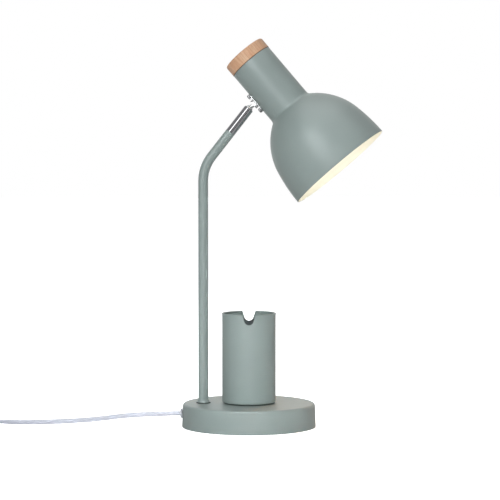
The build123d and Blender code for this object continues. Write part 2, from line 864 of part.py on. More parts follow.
def dome_height():
    """Height of the dome from the rim to the straight neck."""
    lower, upper = sin(radians(shade_lower_slope)), sin(radians(shoulder_slope()))
    shoulder = shade_shoulder_radius * (upper - lower)
    return skirt_height() + shoulder + shade_neck_fillet * upper


def neck_top():
    """Height of the neck's end in the head's frame."""
    return joint_below_neck_top


def rim_height():
    """Height of the shade's rim in the head's frame."""
    return neck_top() - neck_length - dome_height()


def skirt_height():
    """Height of the skirt, the shade's lower arc."""
    return shade_lower_radius * (sin(radians(shade_lower_slope)) - sin(radians(shade_rim_slope)))


def skirt_top_radius():
    rim, top = radians(shade_rim_slope), radians(shade_lower_slope)
    return shade_rim_radius - shade_lower_radius * (cos(rim) - cos(top))


def spun_wall(start, slope, steps):
    """A wall spun about the shade's axis, from its outside's line."""
    outside = stroke(start, 90 + slope, steps, 0)
    inside = stroke(start, 90 + slope, steps, shade_wall)
    ends = [Line(outside[0] @ 0, inside[0] @ 0), Line(outside[-1] @ 1, inside[-1] @ 1)]
    return on_head_axis(revolve(Plane.XZ * make_face(outside + inside + ends), Axis.Z))


def shade_skirt():
    """The lower band of the shade, from its rim to where the shoulder begins."""
    start = (shade_rim_radius, rim_height())
    steps = [(shade_lower_radius, shade_lower_slope - shade_rim_slope)]
    return spun_wall(start, shade_rim_slope, steps)


def shade_dome():
    """The shoulder of the shade, up to the weld where its fillet meets the neck."""
    start = (skirt_top_radius(), rim_height() + skirt_height())
    steps = [
        (shade_shoulder_radius, shoulder_slope() - shade_lower_slope),
        (shade_neck_fillet, -shoulder_slope()),
    ]
    return spun_wall(start, shade_lower_slope, steps)


def shade_neck():
    """The tube welded on the dome, with the holes for the stud and the plate's screws."""
    shell = Pos(ball_to_axis, 0, 0) * ring(neck_radius, neck_inner_radius, neck_top() - neck_length, neck_top())
    shell -= along_x(rod(stud_thread_diameter / 2 + free_fit / 2, 0, ball_to_axis))
    for z in (-joint_screw_spacing / 2, joint_screw_spacing / 2):
        shell -= Pos(0, 0, z) * along_x(rod(joint_screw_diameter / 2 + free_fit / 2, 0, ball_to_axis))
    return head_frame * shell


def on_head_axis(shape):
    """Places a shape made about Z on the shade's axis."""
    return head_frame * Pos(ball_to_axis, 0, 0) * shape


def spigot_radius():
    return neck_inner_radius - free_fit / 2


def wood_cap():
    """The oak cap, with a spigot in the neck and a pocket for the nut."""
    bottom = neck_top() + cap_seam
    cap = rod(neck_radius + cap_overhang, bottom, bottom + cap_thickness)
    cap = fillet(cap.edges().sort_by(Axis.Z)[-1], cap_round)
    cap += rod(spigot_radius(), disc_top(), bottom)
    cap -= rod(cap_pocket_diameter / 2, disc_top() - cut_over, disc_top() + cap_pocket_depth)
    pilot = rod(cap_screw_diameter / 2 + close_fit, disc_top() - cut_over, disc_top() + cap_screw_length)
    for hole in around(2, cap_screw_circle_radius, pilot):
        cap -= hole
    return on_head_axis(cap)


def disc_top():
    return neck_top() - cap_spigot_length


def disc_bottom():
    return disc_top() - disc_thickness


def neck_disc():
    """A pressed disc with a skirt, welded in the neck, that carries the cap and the lampholder."""
    outer = neck_inner_radius - close_fit
    low = disc_top() - disc_skirt
    disc = rod(outer, low, disc_top()) - rod(outer - disc_thickness, low - cut_over, disc_bottom())
    disc -= rod(holder_nipple_diameter / 2 + close_fit, low, disc_top() + cut_over)
    hole = rod(cap_screw_diameter / 2 + free_fit / 2, low, disc_top() + cut_over)
    for cut in around(2, cap_screw_circle_radius, hole):
        disc -= cut
    return on_head_axis(disc)


def cap_screws():
    screw = pan_screw(cap_screw_diameter, cap_screw_head_diameter, cap_screw_head_height, cap_screw_length)
    screw = Pos(0, 0, disc_bottom()) * Rot(180, 0, 0) * screw
    return [on_head_axis(placed) for placed in around(2, cap_screw_circle_radius, screw)]


def holder_nipple():
    """The threaded tube that ties the lampholder to the disc."""
    low = disc_bottom() - holder_collar_length
    high = disc_top() + holder_nut_thickness + nipple_past_nut
    return on_head_axis(ring(holder_nipple_diameter / 2, holder_nipple_bore / 2, low, high))


def holder_nut():
    top = disc_top() + holder_nut_thickness
    bore = rod(holder_nipple_diameter / 2 + close_fit, disc_bottom(), top + cut_over)
    return on_head_axis(hexagon(holder_nut_flats, disc_top(), top) - bore)


def cover_top():
    return disc_bottom() - holder_collar_length


def cover_bottom():
    return cover_top() - holder_cover_length


def holder_mouth():
    return cover_bottom() - holder_body_length


def lampholder_cover():
    """The upper shell of the lampholder, with a threaded collar and a side hole for the wires."""
    radius = holder_diameter / 2
    cover = rod(radius, cover_bottom(), cover_top())
    cover = fillet(cover.edges().sort_by(Axis.Z)[-1], holder_shoulder_radius)
    ceiling = cover_top() - holder_wall
    cover -= rod(radius - holder_wall, cover_bottom() - cut_over, ceiling)
    cover += rod(holder_collar_diameter / 2, ceiling, disc_bottom())
    cover -= rod(holder_nipple_diameter / 2 + close_fit, ceiling - cut_over, disc_bottom() + cut_over)
    wire_hole = along_x(rod(wire_spacing / 2 + wire_diameter, -radius - cut_over, -radius / 2))
    return on_head_axis(cover - Pos(0, 0, wire_entry_height()) * wire_hole)


def wire_entry_height():
    return cover_bottom() + holder_cover_length * 0.55


def lampholder_body():
    """The lower shell, which screws into the cover and holds the contacts."""
    outer = holder_diameter / 2 - holder_body_step
    inner = holder_diameter / 2 - holder_wall - close_fit
    body = rod(outer, holder_mouth(), cover_bottom())
    body = fillet(body.edges().sort_by(Axis.Z)[0], holder_mouth_radius)
    body += rod(inner, cover_bottom(), cover_bottom() + holder_insert_length)
    return on_head_axis(body - rod(holder_bore / 2, holder_mouth() - cut_over, contact_ceiling()))


def contact_ceiling():
    """Height of the roof of the space above the bulb, where the centre contact is fixed."""
    return holder_mouth() + bulb_cap_length + holder_contact_room


def tip_top():
    return holder_mouth() - bulb_cap_proud + bulb_cap_length + bulb_tip_height


def lampholder_contacts():
    """The threaded sleeve that grips the bulb's cap and the spring strip that presses on its tip."""
    low = holder_mouth() + side_contact_inset
    sleeve = ring(holder_bore / 2 - close_fit, bulb_cap_diameter / 2 + close_fit, low, low + side_contact_length)
    half_x = contact_strip_length / 2
    half_y = contact_strip_width / 2
    strip = block(-half_x, half_x, -half_y, half_y, tip_top(), tip_top() + contact_thickness)
    strip += rod(half_y, tip_top() + contact_thickness, contact_ceiling())
    return [on_head_axis(sleeve), on_head_axis(strip)]


def bulb_cap():
    low = holder_mouth() - bulb_cap_proud
    outer = bulb_cap_diameter / 2
    return on_head_axis(ring(outer, outer - bulb_cap_wall, low, low + bulb_cap_length))


def bulb_tip():
    low = holder_mouth() - bulb_cap_proud + bulb_cap_length
    base, end = bulb_tip_base_diameter / 2, bulb_tip_end_diameter / 2
    return on_head_axis(spun((0, low), (base, low), (end, tip_top()), (0, tip_top())))


def globe_centre():
    """Height of the globe's centre: its cut mouth sits on the bulb's body."""
    return body_bottom() - sqrt((bulb_globe_diameter / 2) ** 2 - (bulb_body_widest / 2) ** 2)


def body_bottom():
    return holder_mouth() - bulb_cap_proud - bulb_body_length


def bulb_body():
    """The plastic cone between the screw cap and the globe."""
    top = holder_mouth() - bulb_cap_proud
    cone = spun(
        (0, body_bottom()),
        (bulb_body_widest / 2, body_bottom()),
        (bulb_body_widest / 2 - bulb_body_edge, body_bottom() + bulb_body_edge_height),
        (bulb_neck_diameter / 2, top - bulb_neck_length),
        (bulb_neck_diameter / 2, top),
        (0, top),
    )
    core = bulb_cap_diameter / 2 - bulb_cap_wall - close_fit
    return on_head_axis(cone + rod(core, top, top + bulb_cap_length))


def bulb_globe():
    """The opal globe, open where it sits on the body."""
    radius = bulb_globe_diameter / 2
    globe = Sphere(radius) - Sphere(radius - bulb_globe_wall)
    rise = body_bottom() - globe_centre()
    globe -= rod(radius * 2, rise, radius * 2)
    return on_head_axis(Pos(0, 0, globe_centre()) * globe)


def head_wires():
    """Two cores from the ball's bore, up beside the lampholder and in at its side."""
    clear = holder_diameter / 2 + wire_diameter / 2 + head_wire_gap
    x = ball_to_axis - clear
    high = wire_entry_height()
    end = ball_to_axis - holder_diameter / 2 + holder_wall + head_wire_inside
    wires = []
    for side in (-wire_spacing / 2, wire_spacing / 2):
        points = [(stem_bore / 2, side, 0), (x, side, 0), (x, side, high), (end, side, high)]
        path = FilletPolyline(*points, radius=[head_wire_bend, head_wire_bend])
        section = Plane(origin=points[0], z_dir=(1, 0, 0)) * Circle(wire_diameter / 2)
        wires.append(head_frame * sweep(section, path=path))
    return wires


def switch_block():
    """The switch's whole outside, about its own middle and standing on z = 0."""
    outline = RectangleRounded(switch_length, switch_width, switch_corner_radius)
    solid = extrude(outline, switch_height)
    solid = fillet(solid.edges().group_by(Axis.Z)[-1], switch_edge_radius)
    return chamfer(solid.edges().group_by(Axis.Z)[0], switch_edge_radius / 2)


def switch_cavity():
    half_x = switch_length / 2 - switch_wall * 2
    half_y = switch_width / 2 - switch_wall * 2
    return block(-half_x, half_x, -half_y, half_y, switch_wall, switch_height - switch_wall)


def place_switch(shape):
    return Pos(switch_x - switch_length / 2, switch_y, 0) * shape


def switch_lower_shell():
    over = switch_length
    shell = switch_block() - block(-over, over, -over, over, switch_split, switch_height + over)
    shell -= switch_cavity()
    for x in (-switch_screw_x, switch_screw_x):
        pillar = ring(switch_pillar_diameter / 2, switch_screw_diameter / 2 + free_fit / 2, 0, switch_split)
        shell = shell - Pos(x, 0, 0) * rod(switch_pillar_diameter / 2, -cut_over, switch_split + cut_over)
        pillar -= rod(switch_screw_head_diameter / 2 + free_fit / 2, -cut_over, switch_screw_head_height)
        shell += Pos(x, 0, 0) * pillar
    return place_switch(shell)


def switch_upper_shell():
    over = switch_length
    shell = switch_block() - block(-over, over, -over, over, -over, switch_split)
    shell -= switch_cavity()
    ceiling = switch_height - switch_wall
    for x in (-switch_screw_x, switch_screw_x):
        shell += Pos(x, 0, 0) * rod(switch_pillar_diameter / 2, switch_split, ceiling + close_fit)
        shell -= Pos(x, 0, 0) * rod(switch_screw_diameter / 2 + close_fit, 0, switch_split + switch_hole_in_top)
    half_x = window_length / 2
    half_y = window_width / 2
    shell -= block(-half_x, half_x, -half_y, half_y, ceiling - cut_over, switch_height + cut_over)
    for side in (-1, 1):
        inner = side * rocker_ear_gap / 2
        outer = inner + side * rocker_ear_thickness
        low_y, high_y = min(inner, outer), max(inner, outer)
        half_ear = rocker_ear_length / 2
        ear = block(-half_ear, half_ear, low_y, high_y, ceiling - rocker_ear_drop, ceiling + close_fit)
        shell += ear
    axle_hole = Rot(90, 0, 0) * Cylinder(rocker_axle_diameter / 2 + close_fit, rocker_ear_gap * 2)
    return place_switch(shell - Pos(0, 0, rocker_axle_height) * axle_hole)


def switch_rocker():
    """The rocker, pressed down at its end towards the lamp, which is its on position."""
    half = rocker_length / 2
    end_top = switch_height + rocker_end_proud
    outline = [
        (-half, rocker_bottom), (half, rocker_bottom), (half, end_top),
        (0, switch_height + rocker_middle_proud), (-half, end_top),
    ]
    body = extrude(Plane.XZ * make_face(Polyline(*outline, close=True)), rocker_width / 2, both=True)
    axle = Rot(90, 0, 0) * Cylinder(rocker_axle_diameter / 2, rocker_axle_length)
    rocker = body + Pos(0, 0, rocker_axle_height) * axle
    turned = Pos(0, 0, rocker_axle_height) * Rot(0, rocker_tilt, 0) * Pos(0, 0, -rocker_axle_height) * rocker
    return place_switch(turned)


def switch_contacts():
    posts = []
    for x in (-switch_contact_x, switch_contact_x):
        half_x, half_y = switch_contact_length / 2, switch_contact_width / 2
        post = block(x - half_x, x + half_x, -half_y, half_y, switch_wall, rocker_bottom - switch_contact_gap)
        posts.append(place_switch(post))
    return posts


def switch_screws():
    screws = []
    for x in (-switch_screw_x, switch_screw_x):
        head = rod(switch_screw_head_diameter / 2, free_fit, switch_screw_head_height)
        shank = rod(switch_screw_diameter / 2, switch_screw_head_height, switch_split + switch_screw_in_top)
        screws.append(place_switch(Pos(x, 0, 0) * (head + shank)))
    return screws


# The cord lies on the table from the lamp to the switch, then to the coil, then to the plug.
lying = cord_diameter / 2
coil_layer_step = cord_diameter + coil_gap
coil_low = lying + tie_thickness + coil_over_tie
coil_high = coil_low + coil_layer_step
coil_exit_y = coil_y + coil_outer_radius - 2 * coil_outer_radius - coil_layer_step
stub = cord_diameter
to_switch = [
    (-gland_outer_face, 0, gland_height),
    (-97, 0, gland_height), (-119, 0.2, gland_height - 0.3), (-143, 0.9, 12.8), (-168, 2.4, 9.2),
    (-195, 6, 6.5), (-223, 11, 4.2), (-251, 16, 2.8), (-275, 19.5, 2.7), (-291, 22.4, 4.3),
    (switch_x + 13, switch_y, switch_split), (switch_x, switch_y, switch_split),
]
to_coil = [
    (switch_x - switch_length, switch_y, switch_split),
    (switch_x - switch_length - 12, switch_y, switch_split),
    (switch_x - switch_length - 24.5, switch_y + 1.8, 5.0),
    (switch_x - switch_length - 37, coil_y + coil_outer_radius - 1.2, coil_low + 0.2),
    (coil_x + stub + 12, coil_y + coil_outer_radius, coil_low),
    (coil_x + stub, coil_y + coil_outer_radius, coil_low),
]
to_plug = [
    (coil_x + stub, coil_exit_y, coil_high),
    (coil_x + stub + 11.5, coil_exit_y, coil_high),
    (coil_x + stub + 23.5, coil_exit_y - 0.6, coil_high - 1.3),
    (plug_back_x - relief_length - 12, plug_y, plug_thickness / 2),
    (plug_back_x - relief_length, plug_y, plug_thickness / 2),
]


def coil_edges():
    """Two layers of half turns: inwards below, up a layer in the innermost half turn, outwards above."""
    step = coil_layer_step / 2
    x, y = coil_x, coil_y + coil_outer_radius
    inwards = [coil_outer_radius - index * step for index in range(coil_half_turns)]
    climb_radius = coil_outer_radius - coil_half_turns * step
    edges = [Line((x + stub, y, coil_low), (x, y, coil_low))]
    heading = -1
    for radius in inwards:
        y_end = y + heading * 2 * radius
        edges.append(ThreePointArc((x, y, coil_low), (x + heading * radius, (y + y_end) / 2, coil_low),
                                   (x, y_end, coil_low)))
        y, heading = y_end, -heading
    start = Vector(x, y, coil_low)
    end = Vector(x, y + heading * 2 * climb_radius, coil_high)
    reach = (end - start).length / 2
    middle = (start + end) * 0.5 + Vector(heading * reach, 0, 0)
    edges.append(TangentArc(start, middle, tangent=(heading, 0, 0)))
    edges.append(TangentArc(middle, end, tangent=(end - start).normalized()))
    y, heading = end.Y, -heading
    for radius in reversed(inwards):
        y_end = y + heading * 2 * radius
        edges.append(ThreePointArc((x, y, coil_high), (x + heading * radius, (y + y_end) / 2, coil_high),
                                   (x, y_end, coil_high)))
        y, heading = y_end, -heading
    edges.append(Line((x, y, coil_high), (x + stub, y, coil_high)))
    return edges


def coil_self_gap(edges):
    """The least free distance between two places of the coil that aren't neighbours along it."""
    points = []
    travelled = 0.0
    for edge in edges:
        count = max(4, int(edge.length / 2))
        for index in range(count):
            points.append((travelled + edge.length * index / count, edge @ (index / count)))
        travelled += edge.length
    least = coil_outer_radius
    for index, (along, spot) in enumerate(points):
        for other_along, other in points[index + 1:]:
            near = hypot(spot.X - other.X, spot.Y - other.Y, spot.Z - other.Z)
            if near < least and other_along - along > 4 * cord_diameter:
                least = near
    return least - cord_diameter


def cord_coil():
    edges = coil_edges()
    path = Wire(edges)
    section = Plane(origin=edges[0] @ 0, z_dir=(-1, 0, 0)) * Circle(cord_diameter / 2)
    coil = sweep(section, path=path)
    share = coil.volume / (pi * cord_diameter**2 / 4 * path.length)
    print("coil length", round(path.length, 1), "volume share", round(share, 5))
    print("coil least gap to itself", round(coil_self_gap(edges), 2))
    return coil


def cord_tie():
    """A strap round the whole bundle, on the side away from the cord's two ends."""
    inner_radius = coil_outer_radius - (coil_half_turns - 1) * coil_layer_step / 2
    slack = lying + tie_clearance
    across = (coil_layer_step + tie_width) / 2
    curved_in = inner_radius - sqrt(inner_radius**2 - across**2)
    width = coil_outer_radius - inner_radius + 2 * slack + curved_in
    height = coil_high + slack - tie_thickness
    middle_x = coil_x - (coil_outer_radius + inner_radius - curved_in) / 2
    opening = RectangleRounded(width, height, lying)
    strap = RectangleRounded(width + 2 * tie_thickness, height + 2 * tie_thickness, lying + tie_thickness)
    band = extrude(Plane.XZ * (strap - opening), tie_width / 2, both=True)
    return Pos(middle_x, coil_y - coil_layer_step / 2, tie_thickness + height / 2) * band


def place_plug(shape):
    return Pos(plug_back_x, plug_y, plug_thickness / 2) * shape


def plug_body():
    """A flat moulded plug that narrows towards the cord, with sleeves round the roots of its pins."""
    half = plug_width / 2
    back = plug_back_width / 2
    knee = plug_length - plug_straight
    outline = [(0, -back), (knee, -half), (plug_length, -half), (plug_length, half), (knee, half), (0, back)]
    body = extrude(make_face(Polyline(*outline, close=True)), plug_thickness / 2, both=True)
    body = fillet(body.edges().filter_by(Axis.Z), plug_edge_radius)
    body = fillet(body.edges().group_by(Axis.Z)[-1] + body.edges().group_by(Axis.Z)[0], plug_edge_radius / 2)
    for y in (-pin_spacing / 2, pin_spacing / 2):
        sleeve = rod(pin_diameter / 2 - close_fit, plug_length - cut_over, plug_length + pin_sleeve_length)
        body += Pos(0, y, 0) * along_x(sleeve)
        root = rod(pin_root_diameter / 2 + close_fit, plug_straight, plug_length + pin_length)
        body -= Pos(0, y, 0) * along_x(root)
    return place_plug(body)


def plug_pins():
    pins = []
    sleeve_end = plug_length + pin_sleeve_length
    for y in (-pin_spacing / 2, pin_spacing / 2):
        tip = rod(pin_diameter / 2, sleeve_end, plug_length + pin_length)
        tip = fillet(tip.edges().sort_by(Axis.Z)[-1], pin_diameter * 0.4)
        pin = tip + rod(pin_root_diameter / 2, plug_straight + cut_over, sleeve_end)
        pins.append(place_plug(Pos(0, y, 0) * along_x(pin)))
    return pins


def plug_strain_relief():
    """A tapered sleeve between the cord and the plug."""
    cone = Cone(relief_back_diameter / 2, relief_front_diameter / 2, relief_length, align=on_base)
    return place_plug(Pos(-relief_length, 0, 0) * along_x(cone))


pieces = {
    "base_shell": base_shell,
    "ballast_weight": ballast_weight,
    "base_bottom_plate": base_plate,
    "base_plate_screws": base_plate_screws,
    "base_pad": base_pad,
    "arm_tube": arm_tube,
    "post_collar": post_collar,
    "post_nipple": post_nipple,
    "post_lock_washer": post_washer,
    "post_nut": post_nut,
    "pen_cup": pen_cup,
    "cup_spacer": cup_spacer,
    "cup_screw_washer": cup_washer,
    "cup_screw": cup_screw,
    "cord_gland": cord_gland,
    "gland_nut": gland_nut,
    "cord_stop": cord_stop,
    "cord_tail_inside": cord_tail,
    "terminal_block": terminal_block,
    "terminal_screws": terminal_screws,
    "supply_wires": supply_wires,
    "arm_wires": arm_wires,
    "joint_barrel": joint_barrel,
    "ball_spring": ball_spring,
    "ball_seat": ball_seat,
    "ball_stud": ball_stud,
    "joint_plate": joint_plate,
    "joint_plate_screws": joint_plate_screws,
    "joint_plate_nuts": joint_plate_nuts,
    "stud_washer": stud_washer,
    "stud_nut": stud_nut,
    "shade_skirt": shade_skirt,
    "shade_dome": shade_dome,
    "shade_neck": shade_neck,
    "wood_cap": wood_cap,
    "neck_disc": neck_disc,
    "cap_screws": cap_screws,
    "holder_nipple": holder_nipple,
    "holder_nut": holder_nut,
    "lampholder_cover": lampholder_cover,
    "lampholder_body": lampholder_body,
    "lampholder_contacts": lampholder_contacts,
    "bulb_cap": bulb_cap,
    "bulb_tip": bulb_tip,
    "bulb_body": bulb_body,
    "bulb_globe": bulb_globe,
    "head_wires": head_wires,
    "cord_to_switch": lambda: flexible(to_switch, cord_diameter, "cord to switch"),
    "switch_lower_shell": switch_lower_shell,
    "switch_upper_shell": switch_upper_shell,
    "switch_rocker": switch_rocker,
    "switch_contacts": switch_contacts,
    "switch_screws": switch_screws,
    "cord_to_coil": lambda: flexible(to_coil, cord_diameter, "cord to coil"),
    "cord_coil": cord_coil,
    "cord_tie": cord_tie,
    "cord_to_plug": lambda: flexible(to_plug, cord_diameter, "cord to plug"),
    "plug_strain_relief": plug_strain_relief,
    "plug_body": plug_body,
    "plug_pins": plug_pins,
}

os.makedirs("parts", exist_ok=True)
for node, make in pieces.items():
    made = make()
    if isinstance(made, list):
        made = Compound(children=made)
    export_step(made, f"parts/{node}.step")
print("nodes", len(pieces))
print("ball centre", round(ball_x, 2), round(ball_z, 2))
print("rim below ball", round(-rim_height(), 2), "globe end above rim",
      round(globe_centre() - bulb_globe_diameter / 2 - rim_height(), 2))
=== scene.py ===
import bpy
import bmesh
from math import acos, asin, cos, degrees, pi, radians, sin, sqrt
from mathutils import Matrix, Vector, noise


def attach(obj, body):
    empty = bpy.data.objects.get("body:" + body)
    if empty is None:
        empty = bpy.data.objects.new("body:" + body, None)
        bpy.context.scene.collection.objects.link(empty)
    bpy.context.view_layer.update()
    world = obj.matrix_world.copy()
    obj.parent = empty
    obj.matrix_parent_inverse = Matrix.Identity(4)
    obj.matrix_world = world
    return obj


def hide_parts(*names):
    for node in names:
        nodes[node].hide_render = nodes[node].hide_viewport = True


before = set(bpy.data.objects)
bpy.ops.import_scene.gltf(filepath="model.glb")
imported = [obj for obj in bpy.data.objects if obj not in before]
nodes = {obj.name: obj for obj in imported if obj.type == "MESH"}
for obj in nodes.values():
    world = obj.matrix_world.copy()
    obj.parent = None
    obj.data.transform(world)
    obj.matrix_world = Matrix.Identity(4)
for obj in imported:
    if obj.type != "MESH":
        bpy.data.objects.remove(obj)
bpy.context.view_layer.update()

scene = bpy.context.scene
mm = 0.001
weld = 0.002     # points nearer than this, in millimetres, become one
print("frame loaded,", len(nodes), "nodes")


# camera, floor and light

camera = {
    "place": (1.2, -2503, 348),
    "lookAt": (1.2, 0, 198.1),
    "frameOverDistance": 500 / 2245,   # width of the picture at a distance of one
    "sensor": 36,
}
view = bpy.data.cameras.new("camera")
view.sensor_width = camera["sensor"]
view.lens = camera["sensor"] / camera["frameOverDistance"]
view.clip_end = 50
eye = bpy.data.objects.new("camera", view)
scene.collection.objects.link(eye)
eye.location = Vector(camera["place"]) * mm
eye.rotation_euler = (Vector(camera["lookAt"]) - Vector(camera["place"])).to_track_quat("-Z", "Y").to_euler()
scene.camera = eye
scene.view_settings.view_transform = "Standard"


class Signal:
    # a node's output, so that shader maths reads as a plain expression
    def __init__(self, paint, socket):
        self.paint = paint
        self.socket = socket

    def maths(self, operation, first, second=0.0):
        return self.paint.node("ShaderNodeMath", {"operation": operation}, {0: first, 1: second})

    def __add__(self, other):
        return self.maths("ADD", self, other)

    def __sub__(self, other):
        return self.maths("SUBTRACT", self, other)

    def __rsub__(self, other):
        return self.maths("SUBTRACT", other, self)

    def __mul__(self, other):
        return self.maths("MULTIPLY", self, other)

    def __pow__(self, other):
        return self.maths("POWER", self, other)

    def __gt__(self, other):
        return self.maths("GREATER_THAN", self, other)

    __radd__ = __add__
    __rmul__ = __mul__


class Paint:
    # the nodes of one material, or of the world, and their main shader
    def __init__(self, name, world=None, **values):
        self.material = world or bpy.data.materials.new(name)
        self.material.use_nodes = True
        self.tree = self.material.node_tree
        self.shader = self.tree.nodes["Background" if world else "Principled BSDF"]
        for key, value in values.items():
            self.set(key, value)

    def node(self, kind, settings=None, values=None, output=0):
        made = self.tree.nodes.new(kind)
        for key, value in (settings or {}).items():
            if key == "stops":
                ramp = made.color_ramp
                while len(ramp.elements) < len(value):
                    ramp.elements.new(0.5)
                for stop, (place, colour) in zip(ramp.elements, value):
                    stop.position = place
                    stop.color = (*colour, 1)
            else:
                setattr(made, key, value)
        for key, value in (values or {}).items():
            self.feed(made.inputs[key], value)
        return Signal(self, made.outputs[output])

    def feed(self, socket, value):
        if isinstance(value, Signal):
            self.tree.links.new(value.socket, socket)
        elif socket.type == "RGBA":
            socket.default_value = (*value, 1)
        else:
            socket.default_value = value

    def set(self, key, value):
        self.feed(self.shader.inputs[key.replace("_", " ")], value)

    def where(self, frameMatrix=None, stretch=(1, 1, 1)):
        # object coordinates in millimetres, turned into a piece's own frame and stretched
        spot = self.node("ShaderNodeTexCoord", output=3)
        turn = frameMatrix.to_euler() if frameMatrix else (0, 0, 0)
        middle = frameMatrix.to_translation() * mm if frameMatrix else (0, 0, 0)
        scale = [mm / share for share in stretch]
        turned = self.node("ShaderNodeMapping", {"vector_type": "TEXTURE"},
                           {"Vector": spot, "Location": middle, "Rotation": turn})
        return self.node("ShaderNodeMapping", {"vector_type": "TEXTURE"}, {"Vector": turned, "Scale": scale})

    def height(self, frameMatrix=None):
        return self.node("ShaderNodeSeparateXYZ", None, {0: self.where(frameMatrix)}, 2)

    def fade(self, value, start, end, first=0.0, last=1.0):
        # goes smoothly from first to last as the value goes from start to end
        return self.node("ShaderNodeMapRange", {"interpolation_type": "SMOOTHSTEP"}, {
            "Value": value, "From Min": start, "From Max": end, "To Min": first, "To Max": last})

    def noise(self, spot, scale, detail=3.0, roughness=0.5):
        return self.node("ShaderNodeTexNoise", None, {
            "Vector": spot, "Scale": scale, "Detail": detail, "Roughness": roughness})

    def multiplied(self, first, second):
        settings = {"data_type": "RGBA", "blend_type": "MULTIPLY"}
        return self.node("ShaderNodeMix", settings, {0: 1.0, 6: first, 7: second}, output=2)

    def ramp(self, value, *stops):
        return self.node("ShaderNodeValToRGB", {"stops": stops}, {"Fac": value})

    def between(self, share, first, second):
        # a colour between two others
        return self.node("ShaderNodeMix", {"data_type": "RGBA"}, {0: share, 6: first, 7: second}, output=2)

    def bump(self, height, depth, under=None):
        # depth is in millimetres
        values = {"Height": height, "Strength": 1.0, "Distance": depth * mm}
        if under:
            values["Normal"] = under
        return self.node("ShaderNodeBump", None, values)


def linear(red, green, blue):
    # a colour as it is read off a screen, 0 to 255, as the shader wants it
    shares = (red / 255, green / 255, blue / 255)
    return tuple(c / 12.92 if c <= 0.04045 else ((c + 0.055) / 1.055) ** 2.4 for c in shares)


stage = {
    "floorSize": 14000,
    "floorColour": (0.86, 0.86, 0.86),
    "floorLift": 0.8,         # what the camera sees on top of the floor's own light
    "worldLight": 0.25,
    "boxFace": (2.2, 2.2, 2.2),
    "faceGrowth": 1.3,        # how much larger than its box a mirrored face is
    "faceAhead": 10,          # how far in front of its box it stands
    "greyLeft": (0.22, 0.22, 0.225),
    "greyRight": (0.24, 0.24, 0.245),
    "greyTable": (0.33, 0.33, 0.335),
    "greyBehind": (0.22, 0.22, 0.225),
    "greyFront": (0.06, 0.06, 0.065),
}
cards = {
    # middle, size across and up, turn about X and Z, grey
    "cardLeft": ((-1500, -300, 1100), (3600, 2600), (90, 90), "greyLeft"),
    "cardRight": ((1500, -300, 1100), (3600, 2600), (90, 90), "greyRight"),
    "cardBehindCamera": ((0, -2900, 1200), (3200, 2800), (90, 0), "greyBehind"),
    "cardOnTable": ((0, -100, 0.2), (3000, 2000), (0, 0), "greyTable"),
    "cardBeforeTable": ((0, -1850, 1), (3000, 1500), (0, 0), "greyFront"),
}
softboxes = {
    # place, width and height, watts, colour, how bright metal mirrors it, what it is aimed at, spread
    "keySoftbox": ((-960, -2020, 1200), (480, 520), 29, (0.93, 0.98, 1.0), "boxFace", (0, 0, 200), 180),
    "fillSoftbox": ((1000, -2200, 420), (700, 800), 17, (0.97, 0.99, 1.0), None, (0, 0, 200), 180),
    "topSoftbox": ((0, -100, 2300), (1600, 1200), 8, (1, 1, 1), "boxFace", (0, 0, 200), 180),
    "lowFrontBox": ((180, -2300, 380), (260, 260), 0.22, (0.95, 0.99, 1.0), "greyBehind", (0, 0, 60), 16),
    "backSoftbox": ((-250, 2500, 1100), (900, 900), 7, (0.96, 0.99, 1.0), None, (-60, 0, 150), 60),
    "warmBaseBox": ((620, 760, 1050), (200, 200), 0.07, (1.0, 0.47, 0.22), None, (50, 0, 26), 12),
}


def makeFloor():
    bm = bmesh.new()
    bmesh.ops.create_grid(bm, x_segments=1, y_segments=1, size=stage["floorSize"] * mm / 2)
    mesh = bpy.data.meshes.new("floor")
    bm.to_mesh(mesh)
    bm.free()
    floor = bpy.data.objects.new("floor", mesh)
    scene.collection.objects.link(floor)
    paint = Paint("floorPaper", Base_Color=stage["floorColour"], Roughness=0.9)
    paint.set("Specular IOR Level", 0.1)
    lift = seenDirectly(paint) * stage["floorLift"]
    glow = paint.node("ShaderNodeEmission", None, {"Color": (1, 1, 1), "Strength": lift})
    both = paint.node("ShaderNodeAddShader", None, {0: Signal(paint, paint.shader.outputs[0]), 1: glow})
    paint.tree.links.new(both.socket, paint.tree.nodes["Material Output"].inputs["Surface"])
    mesh.materials.append(paint.material)


def seenDirectly(paint):
    # one for what the camera sees, also in a mirror or through glass
    ray = paint.tree.nodes.new("ShaderNodeLightPath")
    seen, mirrored, through = [Signal(paint, ray.outputs[name]) for name in (
        "Is Camera Ray", "Is Glossy Ray", "Is Transmission Ray")]
    return seen.maths("MAXIMUM", seen, mirrored.maths("MAXIMUM", mirrored, through))


def makeWorld():
    scene.world = bpy.data.worlds.new("studio")
    paint = Paint("studio", scene.world, Color=(1, 1, 1))
    paint.set("Strength", paint.node("ShaderNodeMapRange", None, {
        "Value": seenDirectly(paint), "To Min": stage["worldLight"], "To Max": 1.0}))


def makeCard(name, place, size, glow):
    # a flat card that only shows in reflections
    bm = bmesh.new()
    bmesh.ops.create_grid(bm, x_segments=1, y_segments=1, size=0.5)
    bm.transform(place @ Matrix.Diagonal((size[0] * mm, size[1] * mm, 1, 1)))
    mesh = bpy.data.meshes.new(name)
    bm.to_mesh(mesh)
    bm.free()
    card = bpy.data.objects.new(name, mesh)
    scene.collection.objects.link(card)
    card.visible_camera = card.visible_diffuse = card.visible_shadow = False
    paint = Paint(name, Base_Color=(0, 0, 0), Roughness=1.0, Emission_Strength=1.0, Emission_Color=glow)
    paint.set("Specular IOR Level", 0.0)
    mesh.materials.append(paint.material)


